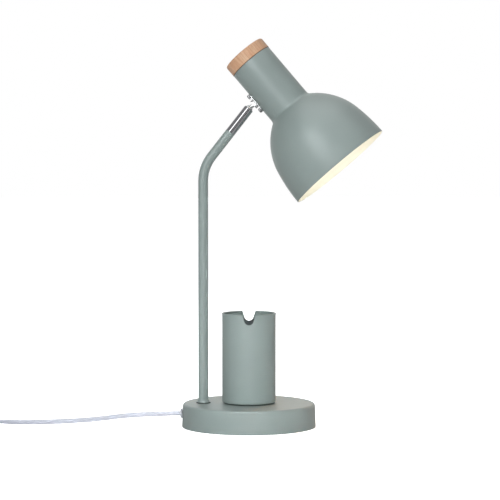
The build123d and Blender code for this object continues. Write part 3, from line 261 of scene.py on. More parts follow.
def softbox(name, place, size, watts, colour, face, aim, spread):
    lamp = bpy.data.lights.new(name, "AREA")
    lamp.shape = "RECTANGLE"
    lamp.size, lamp.size_y = size[0] * mm, size[1] * mm
    lamp.energy = watts
    lamp.color = colour
    lamp.spread = radians(spread)
    box = bpy.data.objects.new(name, lamp)
    scene.collection.objects.link(box)
    box.visible_glossy = face is not None
    box.visible_camera = False
    box.location = Vector(place) * mm
    facing = (Vector(aim) - Vector(place)).to_track_quat("-Z", "Y")
    box.rotation_euler = facing.to_euler()
    if face:
        # the box's face, as metal mirrors it
        turned = facing.to_matrix().to_4x4() @ Matrix.Translation((0, 0, -stage["faceAhead"] * mm))
        faceSize = [edge * stage["faceGrowth"] for edge in size]
        makeCard(name + "Face", Matrix.Translation(box.location) @ turned, faceSize, stage[face])


makeFloor()
makeWorld()
for name, (middle, size, turn, grey) in cards.items():
    upright = Matrix.Rotation(radians(turn[1]), 4, "Z") @ Matrix.Rotation(radians(turn[0]), 4, "X")
    makeCard(name, Matrix.Translation(Vector(middle) * mm) @ upright, size, stage[grey])
for name, values in softboxes.items():
    softbox(name, *values)
print("camera, floor and light ready")


# frames of the arm and the head, as the model has them

joint = {"ball": (-0.4584, 0, 355.1957), "armRise": 52, "swivel": -6.8, "tilt": 11.7, "ballToAxis": 36.3}
armFrame = Matrix.Translation(joint["ball"]) @ Matrix.Rotation(radians(90 - joint["armRise"]), 4, "Y")
swivelFrame = armFrame @ Matrix.Rotation(radians(joint["swivel"]), 4, "Z")
headFrame = swivelFrame @ Matrix.Rotation(radians(joint["tilt"] - 90), 4, "Y")
shadeFrame = headFrame @ Matrix.Translation((joint["ballToAxis"], 0, 0))

# the shade's sizes stand before the materials, because the oak's painted seam shadow needs them
shade = {
    "rimRadius": 61.1, "wall": 0.9, "rimSlope": 0.5, "lowerRadius": 200, "lowerSlope": 12,
    "shoulderRadius": 72, "neckFillet": 5, "neckRadius": 25.25, "neckLength": 65.2, "neckTop": 38.0,
    "neckBand": 20, "topRound": 0.3,
    "around": 128, "lowerSteps": 14, "shoulderSteps": 26, "filletSteps": 10, "rimSteps": 8,
}


# materials

def sagePaint():
    # satin powder coat: an even colour with a very fine orange peel
    paint = Paint("sagePaint")
    paint.set("Specular IOR Level", 0.75)
    spot = paint.where()
    drift = paint.noise(spot, 0.018, 2)
    grain = paint.noise(spot, 2.4, 2, 0.6)
    tone = paint.ramp(drift, (0.3, linear(125, 136, 133)), (0.7, linear(130, 141, 138)))
    fleck = paint.ramp(grain, (0.35, (0.955, 0.955, 0.955)), (0.65, (1, 1, 1)))
    paint.set("Base Color", paint.multiplied(tone, fleck))
    paint.set("Roughness", grain * 0.1 + 0.42)
    paint.set("Normal", paint.bump(paint.noise(spot, 1.1, 3, 0.55), 0.012))
    return paint.material


def chromePlate():
    paint = Paint("chromePlate", Metallic=1.0)
    spot = paint.where()
    haze = paint.noise(spot, 0.35, 3)
    paint.set("Base Color", paint.ramp(haze, (0.3, (0.66, 0.66, 0.68)), (0.7, (0.74, 0.74, 0.76))))
    paint.set("Roughness", haze * 0.02 + 0.012)
    paint.set("Normal", paint.bump(paint.noise(paint.where(armFrame, (1, 1, 0.05)), 2.0, 1), 0.0001))
    return paint.material


def oakWood():
    # the grain runs along the shade's axis, so the cap's top is end grain
    paint = Paint("oakWood")
    along = paint.where(shadeFrame, (1, 1, 0.06))
    streaks = paint.noise(along, 1.7, 5, 0.65)
    pores = paint.noise(paint.where(shadeFrame, (1, 1, 0.09)), 5.5, 2, 0.5)
    patches = paint.noise(paint.where(shadeFrame, (1, 1, 0.25)), 0.11, 2, 0.5)
    rings = paint.node("ShaderNodeTexWave", {"wave_type": "RINGS", "rings_direction": "Z"}, {
        "Vector": paint.where(shadeFrame @ Matrix.Translation((31, 12, 0)), (1, 1, 0.04)),
        "Scale": 0.115, "Distortion": 2.2, "Detail": 3.0, "Detail Scale": 1.6}, output=1)
    light = paint.ramp(streaks, (0.25, linear(173, 130, 99)), (0.5, linear(198, 160, 129)),
                       (0.8, linear(212, 180, 151)))
    patchy = paint.ramp(patches, (0.35, (0, 0, 0)), (0.7, (0.55, 0.55, 0.55)))
    warm = paint.between(patchy, light, linear(180, 126, 92))
    ringed = paint.between(rings ** 3.0 * 0.28, warm, linear(160, 108, 74))
    dots = pores > 0.66
    dotted = paint.between(dots * 0.4, ringed, linear(120, 78, 50))
    # the turned edge over the seam is darkened: painted shadow of the gap between cap and neck
    edge = paint.fade(paint.height(shadeFrame), shade["neckTop"] + 0.25, shade["neckTop"] + 1.15, 0.85, 0.0)
    paint.set("Base Color", paint.between(edge, dotted, linear(84, 62, 48)))
    paint.set("Roughness", streaks * 0.16 + 0.46)
    paint.set("Normal", paint.bump(streaks - dots * 0.5, 0.03))
    return paint.material


def mouldedPlastic(name, colour, rough, grainDepth=0.01, coat=0.0):
    paint = Paint(name, Coat_Weight=coat, Coat_Roughness=0.12)
    spot = paint.where()
    drift = paint.noise(spot, 0.05, 2)
    grain = paint.noise(spot, 3.0, 2, 0.6)
    paint.set("Base Color", paint.ramp(drift, (0.3, tuple(c * 0.95 for c in colour)), (0.7, colour)))
    paint.set("Roughness", grain * 0.12 + (rough - 0.06))
    paint.set("Normal", paint.bump(grain, grainDepth))
    return paint.material


def cordSheath():
    # soft sheath with faint rub marks across it
    paint = Paint("cordSheath")
    spot = paint.where()
    rub = paint.noise(spot, 0.16, 4, 0.6)
    grain = paint.noise(spot, 2.2, 3, 0.6)
    paint.set("Base Color", paint.ramp(rub, (0.3, linear(181, 183, 194)), (0.7, linear(192, 194, 205))))
    paint.set("Roughness", grain * 0.14 + 0.38)
    paint.set("Normal", paint.bump(grain + rub * 0.5, 0.02))
    return paint.material


def turnedMetal(name, colour, rough, depth=0.004):
    paint = Paint(name, Metallic=1.0)
    spot = paint.where()
    haze = paint.noise(spot, 0.3, 4, 0.6)
    lines = paint.noise(paint.where(None, (1, 1, 0.1)), 5.0, 2)
    paint.set("Base Color", paint.ramp(haze, (0.25, tuple(c * 0.82 for c in colour)), (0.75, colour)))
    paint.set("Roughness", haze * 0.2 + (rough - 0.1))
    paint.set("Normal", paint.bump(lines, depth))
    return paint.material


def castIron():
    paint = Paint("castIron", Metallic=0.4)
    lumps = paint.noise(paint.where(), 0.9, 6, 0.65)
    paint.set("Base Color", paint.ramp(lumps, (0.3, (0.025, 0.025, 0.027)), (0.7, (0.07, 0.065, 0.06))))
    paint.set("Roughness", lumps * 0.25 + 0.6)
    paint.set("Normal", paint.bump(lumps, 0.25))
    return paint.material


def rubberSheet():
    paint = Paint("rubberSheet")
    cells = paint.node("ShaderNodeTexVoronoi", {"feature": "F1"}, {"Vector": paint.where(), "Scale": 2.0})
    paint.set("Base Color", paint.ramp(cells, (0.0, (0.012, 0.012, 0.013)), (0.8, (0.03, 0.03, 0.031))))
    paint.set("Roughness", cells * 0.1 + 0.82)
    paint.set("Normal", paint.bump(cells, 0.08))
    return paint.material


def shadeLining():
    # warm white enamel inside the shade, lit by the bulb, with a faint painted glow of that light on it
    paint = Paint("shadeLining", Emission_Strength=0.08)
    spot = paint.where()
    drift = paint.noise(spot, 0.05, 2)
    grain = paint.noise(spot, 2.0, 2)
    paint.set("Base Color", paint.ramp(drift, (0.3, (0.84, 0.81, 0.7)), (0.7, (0.88, 0.85, 0.74))))
    # the emission is a painted glow standing in for the bulb's light on the enamel
    paint.set("Emission Color", paint.ramp(drift, (0.3, (0.96, 0.92, 0.78)), (0.7, (1.0, 0.95, 0.8))))
    paint.set("Roughness", grain * 0.1 + 0.34)
    paint.set("Normal", paint.bump(grain, 0.01))
    return paint.material


def cupInside():
    # painted shade: the inside of the cup darkens towards the bottom, between two heights over the table
    paint = Paint("cupInside")
    upper, lower = 122.5, 117.0
    grain = paint.noise(paint.where(), 2.4, 2, 0.6)
    paintedShade = paint.fade(paint.height(), upper, lower)
    worn = paint.between(grain * 0.25, linear(126, 138, 134), linear(112, 124, 121))
    # lower down, the colour goes over to the painted shade
    paint.set("Base Color", paint.between(paintedShade, worn, linear(58, 66, 66)))
    paint.set("Roughness", grain * 0.1 + 0.52)
    paint.set("Normal", paint.bump(grain, 0.015))
    return paint.material


def opalGlobe():
    paint = Paint("opalGlobe", Roughness=0.3, Emission_Strength=1.7)
    haze = paint.noise(paint.where(), 0.08, 2)
    paint.set("Base Color", paint.ramp(haze, (0.3, (0.9, 0.87, 0.8)), (0.7, (0.94, 0.91, 0.85))))
    paint.set("Emission Color", paint.ramp(haze, (0.3, (1.0, 0.88, 0.68)), (0.7, (1.0, 0.9, 0.72))))
    return paint.material


materials = {
    "sage": sagePaint(),
    "chrome": chromePlate(),
    "oak": oakWood(),
    "lining": shadeLining(),
    "sheath": cordSheath(),
    "opal": opalGlobe(),
    "cupInside": cupInside(),
    "mattNickel": turnedMetal("mattNickel", (0.96, 0.96, 0.95), 0.52, 0.001),
    "screwSteel": turnedMetal("screwSteel", (0.5, 0.5, 0.51), 0.34, 0.002),
    "iron": castIron(),
    "rubber": rubberSheet(),
    "zinc": turnedMetal("zincSteel", (0.62, 0.62, 0.6), 0.36),
    "brass": turnedMetal("pressedBrass", (0.78, 0.57, 0.26), 0.3),
    "nickel": turnedMetal("nickelPlate", (0.7, 0.68, 0.62), 0.24),
    "greyBush": mouldedPlastic("greyBush", linear(166, 168, 174), 0.5),
    "nylon": mouldedPlastic("nylonBlock", (0.74, 0.73, 0.66), 0.5),
    "phenolic": mouldedPlastic("phenolicWhite", (0.78, 0.77, 0.72), 0.32, 0.008, 0.3),
    "bulbWhite": mouldedPlastic("bulbWhite", (0.82, 0.82, 0.8), 0.38),
    "white": mouldedPlastic("whitePlastic", linear(226, 228, 236), 0.36, 0.012),
    "tie": mouldedPlastic("tieNylon", linear(224, 225, 226), 0.45),
    "brown": mouldedPlastic("coreBrown", (0.13, 0.05, 0.02), 0.45),
}
wears = {
    "sage": ["base_shell", "arm_tube", "post_collar", "pen_cup", "shade_skirt", "shade_dome", "shade_neck"],
    "chrome": ["joint_barrel", "joint_plate", "joint_plate_screws"],
    "mattNickel": ["ball_stud"],
    "oak": ["wood_cap"],
    "iron": ["ballast_weight"],
    "rubber": ["base_pad", "cup_spacer"],
    "zinc": ["base_bottom_plate", "base_plate_screws", "post_nipple", "post_lock_washer", "post_nut",
             "cup_screw_washer", "cup_screw", "terminal_screws", "ball_spring", "joint_plate_nuts",
             "stud_washer", "stud_nut", "neck_disc", "cap_screws", "switch_screws"],
    "brass": ["holder_nipple", "holder_nut", "lampholder_contacts", "switch_contacts"],
    "nickel": ["bulb_cap", "bulb_tip", "plug_pins"],
    "greyBush": ["cord_gland", "gland_nut"],
    "nylon": ["terminal_block", "ball_seat"],
    "phenolic": ["lampholder_cover", "lampholder_body"],
    "bulbWhite": ["bulb_body"],
    "opal": ["bulb_globe"],
    "white": ["cord_stop", "switch_lower_shell", "switch_upper_shell", "switch_rocker", "plug_strain_relief",
              "plug_body"],
    "tie": ["cord_tie"],
    "brown": ["supply_wires", "arm_wires", "head_wires"],
    "sheath": ["cord_tail_inside", "cord_to_switch", "cord_to_coil", "cord_coil", "cord_to_plug"],
}
for finish, wearers in wears.items():
    for node in wearers:
        slots = nodes[node].material_slots
        if not slots:
            nodes[node].data.materials.append(materials[finish])
        for slot in slots:
            slot.material = materials[finish]
print("materials on", sum(len(wearers) for wearers in wears.values()), "nodes")


# making pieces

crisp = 38     # edges that turn by more than this, in degrees, stay sharp


def addPiece(name, bm, body, finishes, replaced=(), place=Matrix.Identity(4), sharp=crisp):
    # a bmesh in millimetres becomes a piece in metres that rides on a body
    bmesh.ops.remove_doubles(bm, verts=bm.verts, dist=weld)
    bmesh.ops.recalc_face_normals(bm, faces=bm.faces)
    bm.transform(Matrix.Scale(mm, 4) @ place)
    mesh = bpy.data.meshes.new(name)
    bm.to_mesh(mesh)
    bm.free()
    mesh.shade_smooth()
    mesh.set_sharp_from_angle(angle=radians(sharp))
    for finish in finishes:
        mesh.materials.append(materials[finish])
    piece = bpy.data.objects.new(name, mesh)
    scene.collection.objects.link(piece)
    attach(piece, body)
    if replaced:
        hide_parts(*replaced)
    return piece


class Outline:
    # a line in the XZ plane: runs are extruded and arcs are spun
    def __init__(self, bm, radius, height):
        self.bm = bm
        self.tip = bm.verts.new((radius, 0, height))

    def run(self, *corners):
        for radius, height in corners:
            self.tip = bmesh.ops.extrude_vert_indiv(self.bm, verts=[self.tip])["verts"][0]
            self.tip.co = (radius, 0, height)
        return self

    def arc(self, centre, turn, steps=6):
        # turn is in degrees, from +radius towards +height
        spun = bmesh.ops.spin(self.bm, geom=[self.tip], cent=(centre[0], 0, centre[1]), axis=(0, 1, 0),
                              angle=-radians(turn), steps=steps, use_duplicate=False)
        self.tip = vertsOf(spun["geom_last"])[0]
        return self


def turnRound(bm, steps):
    bmesh.ops.remove_doubles(bm, verts=bm.verts, dist=weld)
    bmesh.ops.spin(bm, geom=bm.verts[:] + bm.edges[:], cent=(0, 0, 0), axis=(0, 0, 1), angle=2 * pi,
                   steps=steps, use_merge=True, use_duplicate=False)
    bmesh.ops.remove_doubles(bm, verts=bm.verts, dist=weld)


def vertsOf(geometry):
    return [v for v in geometry if isinstance(v, bmesh.types.BMVert)]


def sliceAcross(bm, spot, normal):
    bmesh.ops.bisect_plane(bm, geom=bm.verts[:] + bm.edges[:] + bm.faces[:], plane_co=spot, plane_no=normal)


def roundEdges(bm, edges, width):
    bmesh.ops.bevel(bm, geom=edges, offset=width, offset_type="OFFSET", segments=3, profile=0.5,
                    affect="EDGES", material=-1)


# cords

sheathSize = {"width": 5.2, "thickness": 3.2, "roundSteps": 6}
toSwitch = [
    # place of each point, and how far the flat cord is turned there
    ((-76.851, 0, 14.8), 50), ((-97, 0, 14.0), 75), ((-119, 0, 13.4), 88), ((-143, 0.2, 11.7), 90),
    ((-168, 1.0, 8.2), 90), ((-195, 4.2, 5.6), 90), ((-223, 8.2, 3.9), 88), ((-251, 12, 2.9), 82),
    ((-275, 16, 2.8), 66), ((-291, 21.4, 3.5), 24), ((-305, 24, 6), 0), ((-318, 24, 6), 0),
]
toCoil = [
    ((-378, 24, 6), 0), ((-390, 24, 6), 0), ((-402.5, 25.8, 5.0), 10), ((-415, 28.8, 3.9), 50),
    ((-427, 30, 3.6), 90), ((-439, 30, 3.6), 90),
]
toPlug = [
    ((-439, -50.7, 9.3), 90), ((-427.5, -50.7, 9.3), 90), ((-415.5, -51.3, 8.0), 60), ((-402, -52, 6.85), 10),
    ((-390, -52, 6.85), 0),
]
coil = {
    "centre": (-444.2, -7.5), "radius": 37.5, "halfTurns": 7, "layerStep": 5.7, "low": 3.6, "perHalfTurn": 8,
    "loose": 0.5,     # how far a turn wanders from its circle
}


def coilTurns():
    # half turns inwards on the floor, one that climbs, and half turns outwards on top
    step = coil["layerStep"] / 2
    radii = [coil["radius"] - index * step for index in range(coil["halfTurns"])]
    climb = coil["radius"] - coil["halfTurns"] * step
    high = coil["low"] + coil["layerStep"]
    rows = [(radius, coil["low"], coil["low"]) for radius in radii]
    rows += [(climb, coil["low"], high)]
    rows += [(radius, high, high) for radius in reversed(radii)]
    x, y = coil["centre"][0], coil["centre"][1] + coil["radius"]
    side = -1
    points = []
    for row, (radius, zStart, zEnd) in enumerate(rows):
        reach = radius / cos(pi / coil["perHalfTurn"] / 2)
        for index in range(coil["perHalfTurn"]):
            share = (index + 0.5) / coil["perHalfTurn"]
            loose = coil["loose"] * noise.noise(Vector((row * 0.7, share * 1.5, 3.1)))
            if row in (0, len(rows) - 1):
                loose = 0
            angle = pi * share
            points.append(((x + side * (reach + loose) * sin(angle),
                            y + side * (radius - (reach + loose) * cos(angle)),
                            zStart + (zEnd - zStart) * share), 90))
        y += side * 2 * radius
        side = -side
    return points


def routeCurve(name, route):
    curve = bpy.data.curves.new(name, "CURVE")
    curve.dimensions = "3D"
    curve.twist_mode = "Z_UP"
    curve.resolution_u = 6
    spline = curve.splines.new("NURBS")
    spline.points.add(len(route) - 1)
    for point, (spot, turn) in zip(spline.points, route):
        point.co = (*(c * mm for c in spot), 1)
        point.tilt = radians(turn)
    spline.order_u = 3
    spline.use_endpoint_u = True
    return curve


def flatSection():
    # the sheath's section: two half rounds that flats join
    size = sheathSize
    half, flat = size["thickness"] / 2, (size["width"] - size["thickness"]) / 2
    section = bpy.data.curves.new("sheathSection", "CURVE")
    spline = section.splines.new("POLY")
    steps = size["roundSteps"]
    corners = [(side * (flat + half * sin(pi * k / steps)), side * half * cos(pi * k / steps))
               for side in (1, -1) for k in range(steps + 1)]
    spline.points.add(len(corners) - 1)
    for point, (across, up) in zip(spline.points, corners):
        point.co = (across * mm, up * mm, 0, 1)
    spline.use_cyclic_u = True
    holder = bpy.data.objects.new("sheathSection", section)
    scene.collection.objects.link(holder)
    return holder


def evaluatedMesh(curve):
    holder = bpy.data.objects.new("route", curve)
    scene.collection.objects.link(holder)
    bpy.context.view_layer.update()
    ready = holder.evaluated_get(bpy.context.evaluated_depsgraph_get())
    mesh = bpy.data.meshes.new_from_object(ready)
    bpy.data.objects.remove(holder)
    return mesh


def flatCord(name, route, replaced):
    bare = evaluatedMesh(routeCurve(name + "Line", route))
    path = [tuple(v.co) for v in bare.vertices]
    section = flatSection()
    curve = routeCurve(name, route)
    curve.bevel_mode = "OBJECT"
    curve.bevel_object = section
    curve.use_fill_caps = True
    mesh = evaluatedMesh(curve)
    bpy.data.objects.remove(section)
    bm = bmesh.new()
    bm.from_mesh(mesh)
    bm.transform(Matrix.Scale(1 / mm, 4))
    piece = addPiece(name, bm, "stand", ["sheath"], replaced)
    return piece, path


cordA, pathA = flatCord("cordToSwitch", toSwitch, ["cord_to_switch"])
cordB, pathB = flatCord("cordToPlug", toCoil + coilTurns() + toPlug,
                        ["cord_to_coil", "cord_coil", "cord_to_plug"])


def lengthOf(path):
    return sum((Vector(b) - Vector(a)).length for a, b in zip(path, path[1:]))


print("cords", round(lengthOf(pathA), 4), round(lengthOf(pathB), 4), "m")


# shade

def makeShade():
    s = shade
    wall = s["wall"]
    rimSlope, lowerSlope = radians(s["rimSlope"]), radians(s["lowerSlope"])
    lowerX = s["rimRadius"] - s["lowerRadius"] * cos(rimSlope)
    lowerEnd = lowerX + s["lowerRadius"] * cos(lowerSlope)
    shoulderX = lowerEnd - s["shoulderRadius"] * cos(lowerSlope)
    turn = acos((s["neckRadius"] + s["neckFillet"] - shoulderX) / (s["shoulderRadius"] + s["neckFillet"]))
    lowerHeight = s["lowerRadius"] * (sin(lowerSlope) - sin(rimSlope))
    shoulderHeight = s["shoulderRadius"] * (sin(turn) - sin(lowerSlope))
    rim = s["neckTop"] - s["neckLength"] - lowerHeight - shoulderHeight - s["neckFillet"] * sin(turn)
    lowerCentre = (lowerX, rim - s["lowerRadius"] * sin(rimSlope))
    shoulderCentre = (shoulderX, rim + lowerHeight - s["shoulderRadius"] * sin(lowerSlope))
    filletCentre = (s["neckRadius"] + s["neckFillet"], s["neckTop"] - s["neckLength"])
    # the rolled edge takes up the lowest half wall
    rollSlope = asin(sin(rimSlope) + wall / 2 / s["lowerRadius"])
    rollRadius = lowerX + s["lowerRadius"] * cos(rollSlope)
    lowerTurn = s["lowerSlope"] - degrees(rollSlope)
    shoulderTurn = degrees(turn) - s["lowerSlope"]
    bm = bmesh.new()
    line = Outline(bm, rollRadius, rim + wall / 2)
    line.arc(lowerCentre, lowerTurn, s["lowerSteps"])
    line.arc(shoulderCentre, shoulderTurn, s["shoulderSteps"])
    line.arc(filletCentre, -degrees(turn), s["filletSteps"])
    line.run((s["neckRadius"], s["neckBand"]), (s["neckRadius"], s["neckTop"] - s["topRound"]))
    line.arc((s["neckRadius"] - s["topRound"], s["neckTop"] - s["topRound"]), 90, 3)
    line.run((s["neckRadius"] - wall, s["neckTop"]), (s["neckRadius"] - wall, filletCentre[1]))
    line.arc(filletCentre, degrees(turn), s["filletSteps"])
    line.arc(shoulderCentre, -shoulderTurn, s["shoulderSteps"])
    line.arc(lowerCentre, -lowerTurn, s["lowerSteps"])
    rollCentre = (rollRadius - wall / 2 * cos(rollSlope), rim + wall / 2 - wall / 2 * sin(rollSlope))
    line.arc(rollCentre, 180, s["rimSteps"])
    turnRound(bm, s["around"])
    # the lining starts just inside the rolled edge
    for face in bm.faces:
        spot = face.calc_center_median()
        height = spot.z - rim
        middle = Vector((spot.x, spot.y)).length
        outer = outerRadius(height, rim, lowerHeight, lowerCentre, shoulderCentre)
        face.material_index = 1 if middle < outer - wall * 0.6 and height > 0 else 0
    addPiece("shade", bm, "shade_head", ["sage", "lining"],
             ["shade_skirt", "shade_dome", "shade_neck"], shadeFrame, sharp=50)


def outerRadius(height, rim, lowerHeight, lowerCentre, shoulderCentre):
    # the shade's outside at a height above its rim
    centre, radius = shoulderCentre, shade["shoulderRadius"]
    if height < lowerHeight:
        centre, radius = lowerCentre, shade["lowerRadius"]
    rise = rim + height - centre[1]
    return max(centre[0] + sqrt(max(radius ** 2 - rise ** 2, 0)), shade["neckRadius"])


makeShade()
print("shade ready")


# joint plate and its screws

plate = {
    "length": 25, "width": 10, "thickness": 1.2, "edge": 0.25, "screwSpacing": 19.2,
    "around": 64, "cuts": 9,
    "gapShadow": 0.2,      # thickness of the dark band under the plate, painted shadow of the gap to the neck
}
plateScrew = {
    "head": 5.4, "height": 2.4, "dome": 0.55, "shank": 3.0, "length": 5.5, "tip": 0.3,
    "cross": 3.1, "slot": 0.62, "depth": 1.1,
    "around": 40,
    "turns": (28, 63),     # how far each screw is turned, in degrees
}


def makeJointPlate():
    # a flat plate with round ends, bent round the neck
    bm = bmesh.new()
    bmesh.ops.create_circle(bm, cap_ends=True, segments=plate["around"], radius=plate["width"] / 2)
    stretch = (plate["length"] - plate["width"]) / 2
    for side in (-1, 1):
        end = [v for v in bm.verts if v.co.x * side > 0.01]
        bmesh.ops.translate(bm, verts=end, vec=(side * stretch, 0, 0))
    for index in range(plate["cuts"]):
        across = plate["width"] * ((index + 1) / (plate["cuts"] + 1) - 0.5)
        sliceAcross(bm, (0, across, 0), (0, 1, 0))
    bmesh.ops.recalc_face_normals(bm, faces=bm.faces)
    raised = bmesh.ops.extrude_face_region(bm, geom=bm.faces[:])["geom"]
    bmesh.ops.translate(bm, verts=vertsOf(raised), vec=(0, 0, plate["thickness"]))
    bmesh.ops.recalc_face_normals(bm, faces=bm.faces)
    border = [e for e in bm.edges if e.calc_length() > 0.01 and len(e.link_faces) == 2
              and all(v.co.z > plate["thickness"] - 0.01 for v in e.verts) and e.calc_face_angle(0) > 1.0]
    roundEdges(bm, border, plate["edge"])
    # the band under the plate is dark, painted shadow of the gap to the neck; the sides are matt and the
    # outer face shines
    sliceAcross(bm, (0, 0, plate["gapShadow"]), (0, 0, 1))
    for face in bm.faces:
        middle = face.calc_center_median().z
        if middle < plate["gapShadow"]:
            face.material_index = 1
        elif middle > plate["thickness"] - plate["edge"]:
            face.material_index = 2
    for v in bm.verts:
        along, across, depth = v.co
        v.co = (joint["ballToAxis"] - sqrt((shade["neckRadius"] + depth) ** 2 - across ** 2), across, along)
    addPiece("jointPlate", bm, "shade_head", ["mattNickel", "rubber", "chrome"], ["joint_plate"],
             headFrame)


def carved(piece, cutter, bevel=0.0):
    # cuts a bmesh in metres out of a piece, and rounds the edges by bevel, in millimetres
    mesh = bpy.data.meshes.new("cutter")
    cutter.to_mesh(mesh)
    cutter.free()
    tool = bpy.data.objects.new("cutter", mesh)
    scene.collection.objects.link(tool)
    cut = piece.modifiers.new("cut", "BOOLEAN")
    cut.operation, cut.solver, cut.object, cut.use_self = "DIFFERENCE", "EXACT", tool, True
    if bevel:
        soften = piece.modifiers.new("soften", "BEVEL")
        soften.width, soften.segments = bevel * mm, 2
        soften.limit_method, soften.angle_limit = "ANGLE", radians(40)
    bpy.context.view_layer.update()
    ready = bpy.data.meshes.new_from_object(piece.evaluated_get(bpy.context.evaluated_depsgraph_get()))
    piece.modifiers.clear()
    piece.data = ready
    bpy.data.objects.remove(tool)
    ready.shade_smooth()
    ready.set_sharp_from_angle(angle=radians(crisp))


def makePlateScrews():
    s = plateScrew
    dome = s["height"] * s["dome"]
    bm = bmesh.new()
    line = Outline(bm, 0, -s["length"])
    line.run((s["shank"] / 2 - s["tip"], -s["length"]), (s["shank"] / 2, s["tip"] - s["length"]),
             (s["shank"] / 2, 0), (s["head"] / 2, 0), (s["head"] / 2, s["height"] - dome))
    line.arc((s["head"] / 2 - dome, s["height"] - dome), 90, 6).run((0, s["height"]))
    turnRound(bm, s["around"])
    seat = joint["ballToAxis"] - shade["neckRadius"] - plate["thickness"]
    for name, side, turn in zip(("plateScrewLow", "plateScrewHigh"), (-1, 1), s["turns"]):
        hole = headFrame @ Matrix.Translation((seat, 0, side * plate["screwSpacing"] / 2))
        place = hole @ Matrix.Rotation(radians(-90), 4, "Y") @ Matrix.Rotation(radians(turn), 4, "Z")
        piece = addPiece(name, bm.copy(), "shade_head", ["screwSteel"], ["joint_plate_screws"],
                         place)
        cross = bmesh.new()
        for across in (0, 90):
            made = bmesh.ops.create_cube(cross, size=1)["verts"]
            bmesh.ops.scale(cross, verts=made, vec=(s["cross"], s["slot"], s["depth"] * 2))
            bmesh.ops.rotate(cross, verts=made, matrix=Matrix.Rotation(radians(across), 3, "Z"))
        cross.transform(Matrix.Scale(mm, 4) @ place @ Matrix.Translation((0, 0, s["height"])))
        carved(piece, cross)
    bm.free()


makeJointPlate()
makePlateScrews()
print("joint plate ready")


# pen cup and the post's foot

cup = {
    "radius": 30, "wall": 1.0, "bottom": 27.7, "top": 127.7, "floor": 1.5, "bead": 0.9, "foot": 1.5,
    "floorRound": 1, "hole": 2.8, "around": 112, "softEdge": 0.18,
    "notchDepth": 11.4, "notchRound": 5.2, "notchFlare": 18.5,
    "notchAbove": 2,    # how far the cutter stands over the rim
    "bandBelow": 4,     # how far under the notch the wall's top band starts
}
foot = {
    "postX": -51.0042, "bore": 5.55, "low": 26.4, "high": 30.4, "around": 64,
    # the dark rubber ring under the collar stands in for the shade there: painted shade
    "shadeRing": 8.0, "shadeRingHeight": 0.9, "shadeRingEdge": (0.15, 0.3),
    "collar": 7.1, "collarEdge": (0.35, 0.35), "flare": 1.1, "lip": 0.8, "lipEdge": (0.1, 0.2),
}


def makePenCup():
    c = cup
    inner = c["radius"] - c["wall"]
    floor = c["bottom"] + c["floor"]
    rise = sqrt(c["bead"] ** 2 - c["wall"] ** 2 / 4)
    beadZ = c["top"] - c["bead"]
    band = c["top"] - c["notchDepth"] - c["bandBelow"]
    bm = bmesh.new()
    line = Outline(bm, c["hole"], c["bottom"])
    line.run((c["radius"] - c["foot"], c["bottom"]))
    line.arc((c["radius"] - c["foot"], c["bottom"] + c["foot"]), 90, 6)
    line.run((c["radius"], band), (c["radius"], beadZ - rise))
    line.arc((c["radius"] - c["wall"] / 2, beadZ), 360 - 2 * degrees(asin(c["wall"] / 2 / c["bead"])), 22)
    line.run((inner, band), (inner, floor + c["floorRound"]))
    line.arc((inner - c["floorRound"], floor + c["floorRound"]), -90, 4)
    line.run((c["hole"], floor), (c["hole"], c["bottom"]))
    turnRound(bm, c["around"])
    piece = addPiece("penCup", bm, "stand", ["sage", "cupInside"], ["pen_cup"])
    notch = bmesh.new()
    middle = c["top"] - c["notchDepth"] + c["notchRound"]
    sideX = c["notchRound"] * cos(radians(c["notchFlare"]))
    sideZ = middle - c["notchRound"] * sin(radians(c["notchFlare"]))
    topZ = c["top"] + c["notchAbove"]
    topX = sideX + (topZ - sideZ) * sin(radians(c["notchFlare"])) / cos(radians(c["notchFlare"]))
    edge = Outline(notch, -topX, topZ)
    edge.run((-sideX, sideZ)).arc((0, middle), 180 - 2 * c["notchFlare"], 24).run((topX, topZ), (-topX, topZ))
    bmesh.ops.remove_doubles(notch, verts=notch.verts, dist=weld)
    bmesh.ops.contextual_create(notch, geom=notch.edges[:])
    through = bmesh.ops.extrude_face_region(notch, geom=notch.faces[:])["geom"]
    bmesh.ops.translate(notch, verts=vertsOf(through), vec=(0, 4 * c["radius"], 0))
    bmesh.ops.translate(notch, verts=notch.verts, vec=(0, -2 * c["radius"], 0))
    bmesh.ops.recalc_face_normals(notch, faces=notch.faces)
    notch.transform(Matrix.Scale(mm, 4))
    carved(piece, notch, c["softEdge"])
    for face in piece.data.polygons:
        spot = face.center / mm
        within = Vector((spot.x, spot.y)).length < inner + 0.05 and floor - 0.1 < spot.z < beadZ - rise
        face.material_index = 1 if within else 0


def makePostFoot():
    f = foot
    seam = f["low"] + f["shadeRingHeight"]
    under, over = f["shadeRingEdge"]
    slope, rim = f["lipEdge"]
    lip = f["bore"] + f["lip"]
    bm = bmesh.new()
    line = Outline(bm, f["bore"], f["low"])
    line.run((f["shadeRing"] - under, f["low"]), (f["shadeRing"], f["low"] + under), (f["shadeRing"], seam - over),
             (f["shadeRing"] - over, seam), (f["collar"], seam), (f["collar"], seam + f["collarEdge"][1]))
    line.run((f["collar"] - f["collarEdge"][0], seam + f["flare"]), (lip + slope, f["high"] - 1),
             (lip, f["high"] - rim), (lip - rim, f["high"]), (f["bore"], f["high"]), (f["bore"], f["low"]))
    turnRound(bm, f["around"])
    # the faces up to the seam are the dark ring, painted shade under the collar
    for face in bm.faces:
        face.material_index = 1 if face.calc_center_median().z < seam + 0.01 else 0
    addPiece("postFoot", bm, "stand", ["sage", "rubber"], ["post_collar"],
             Matrix.Translation((f["postX"], 0, 0)))


makePenCup()
makePostFoot()
print("cup and post's foot ready")


# what is on the cord

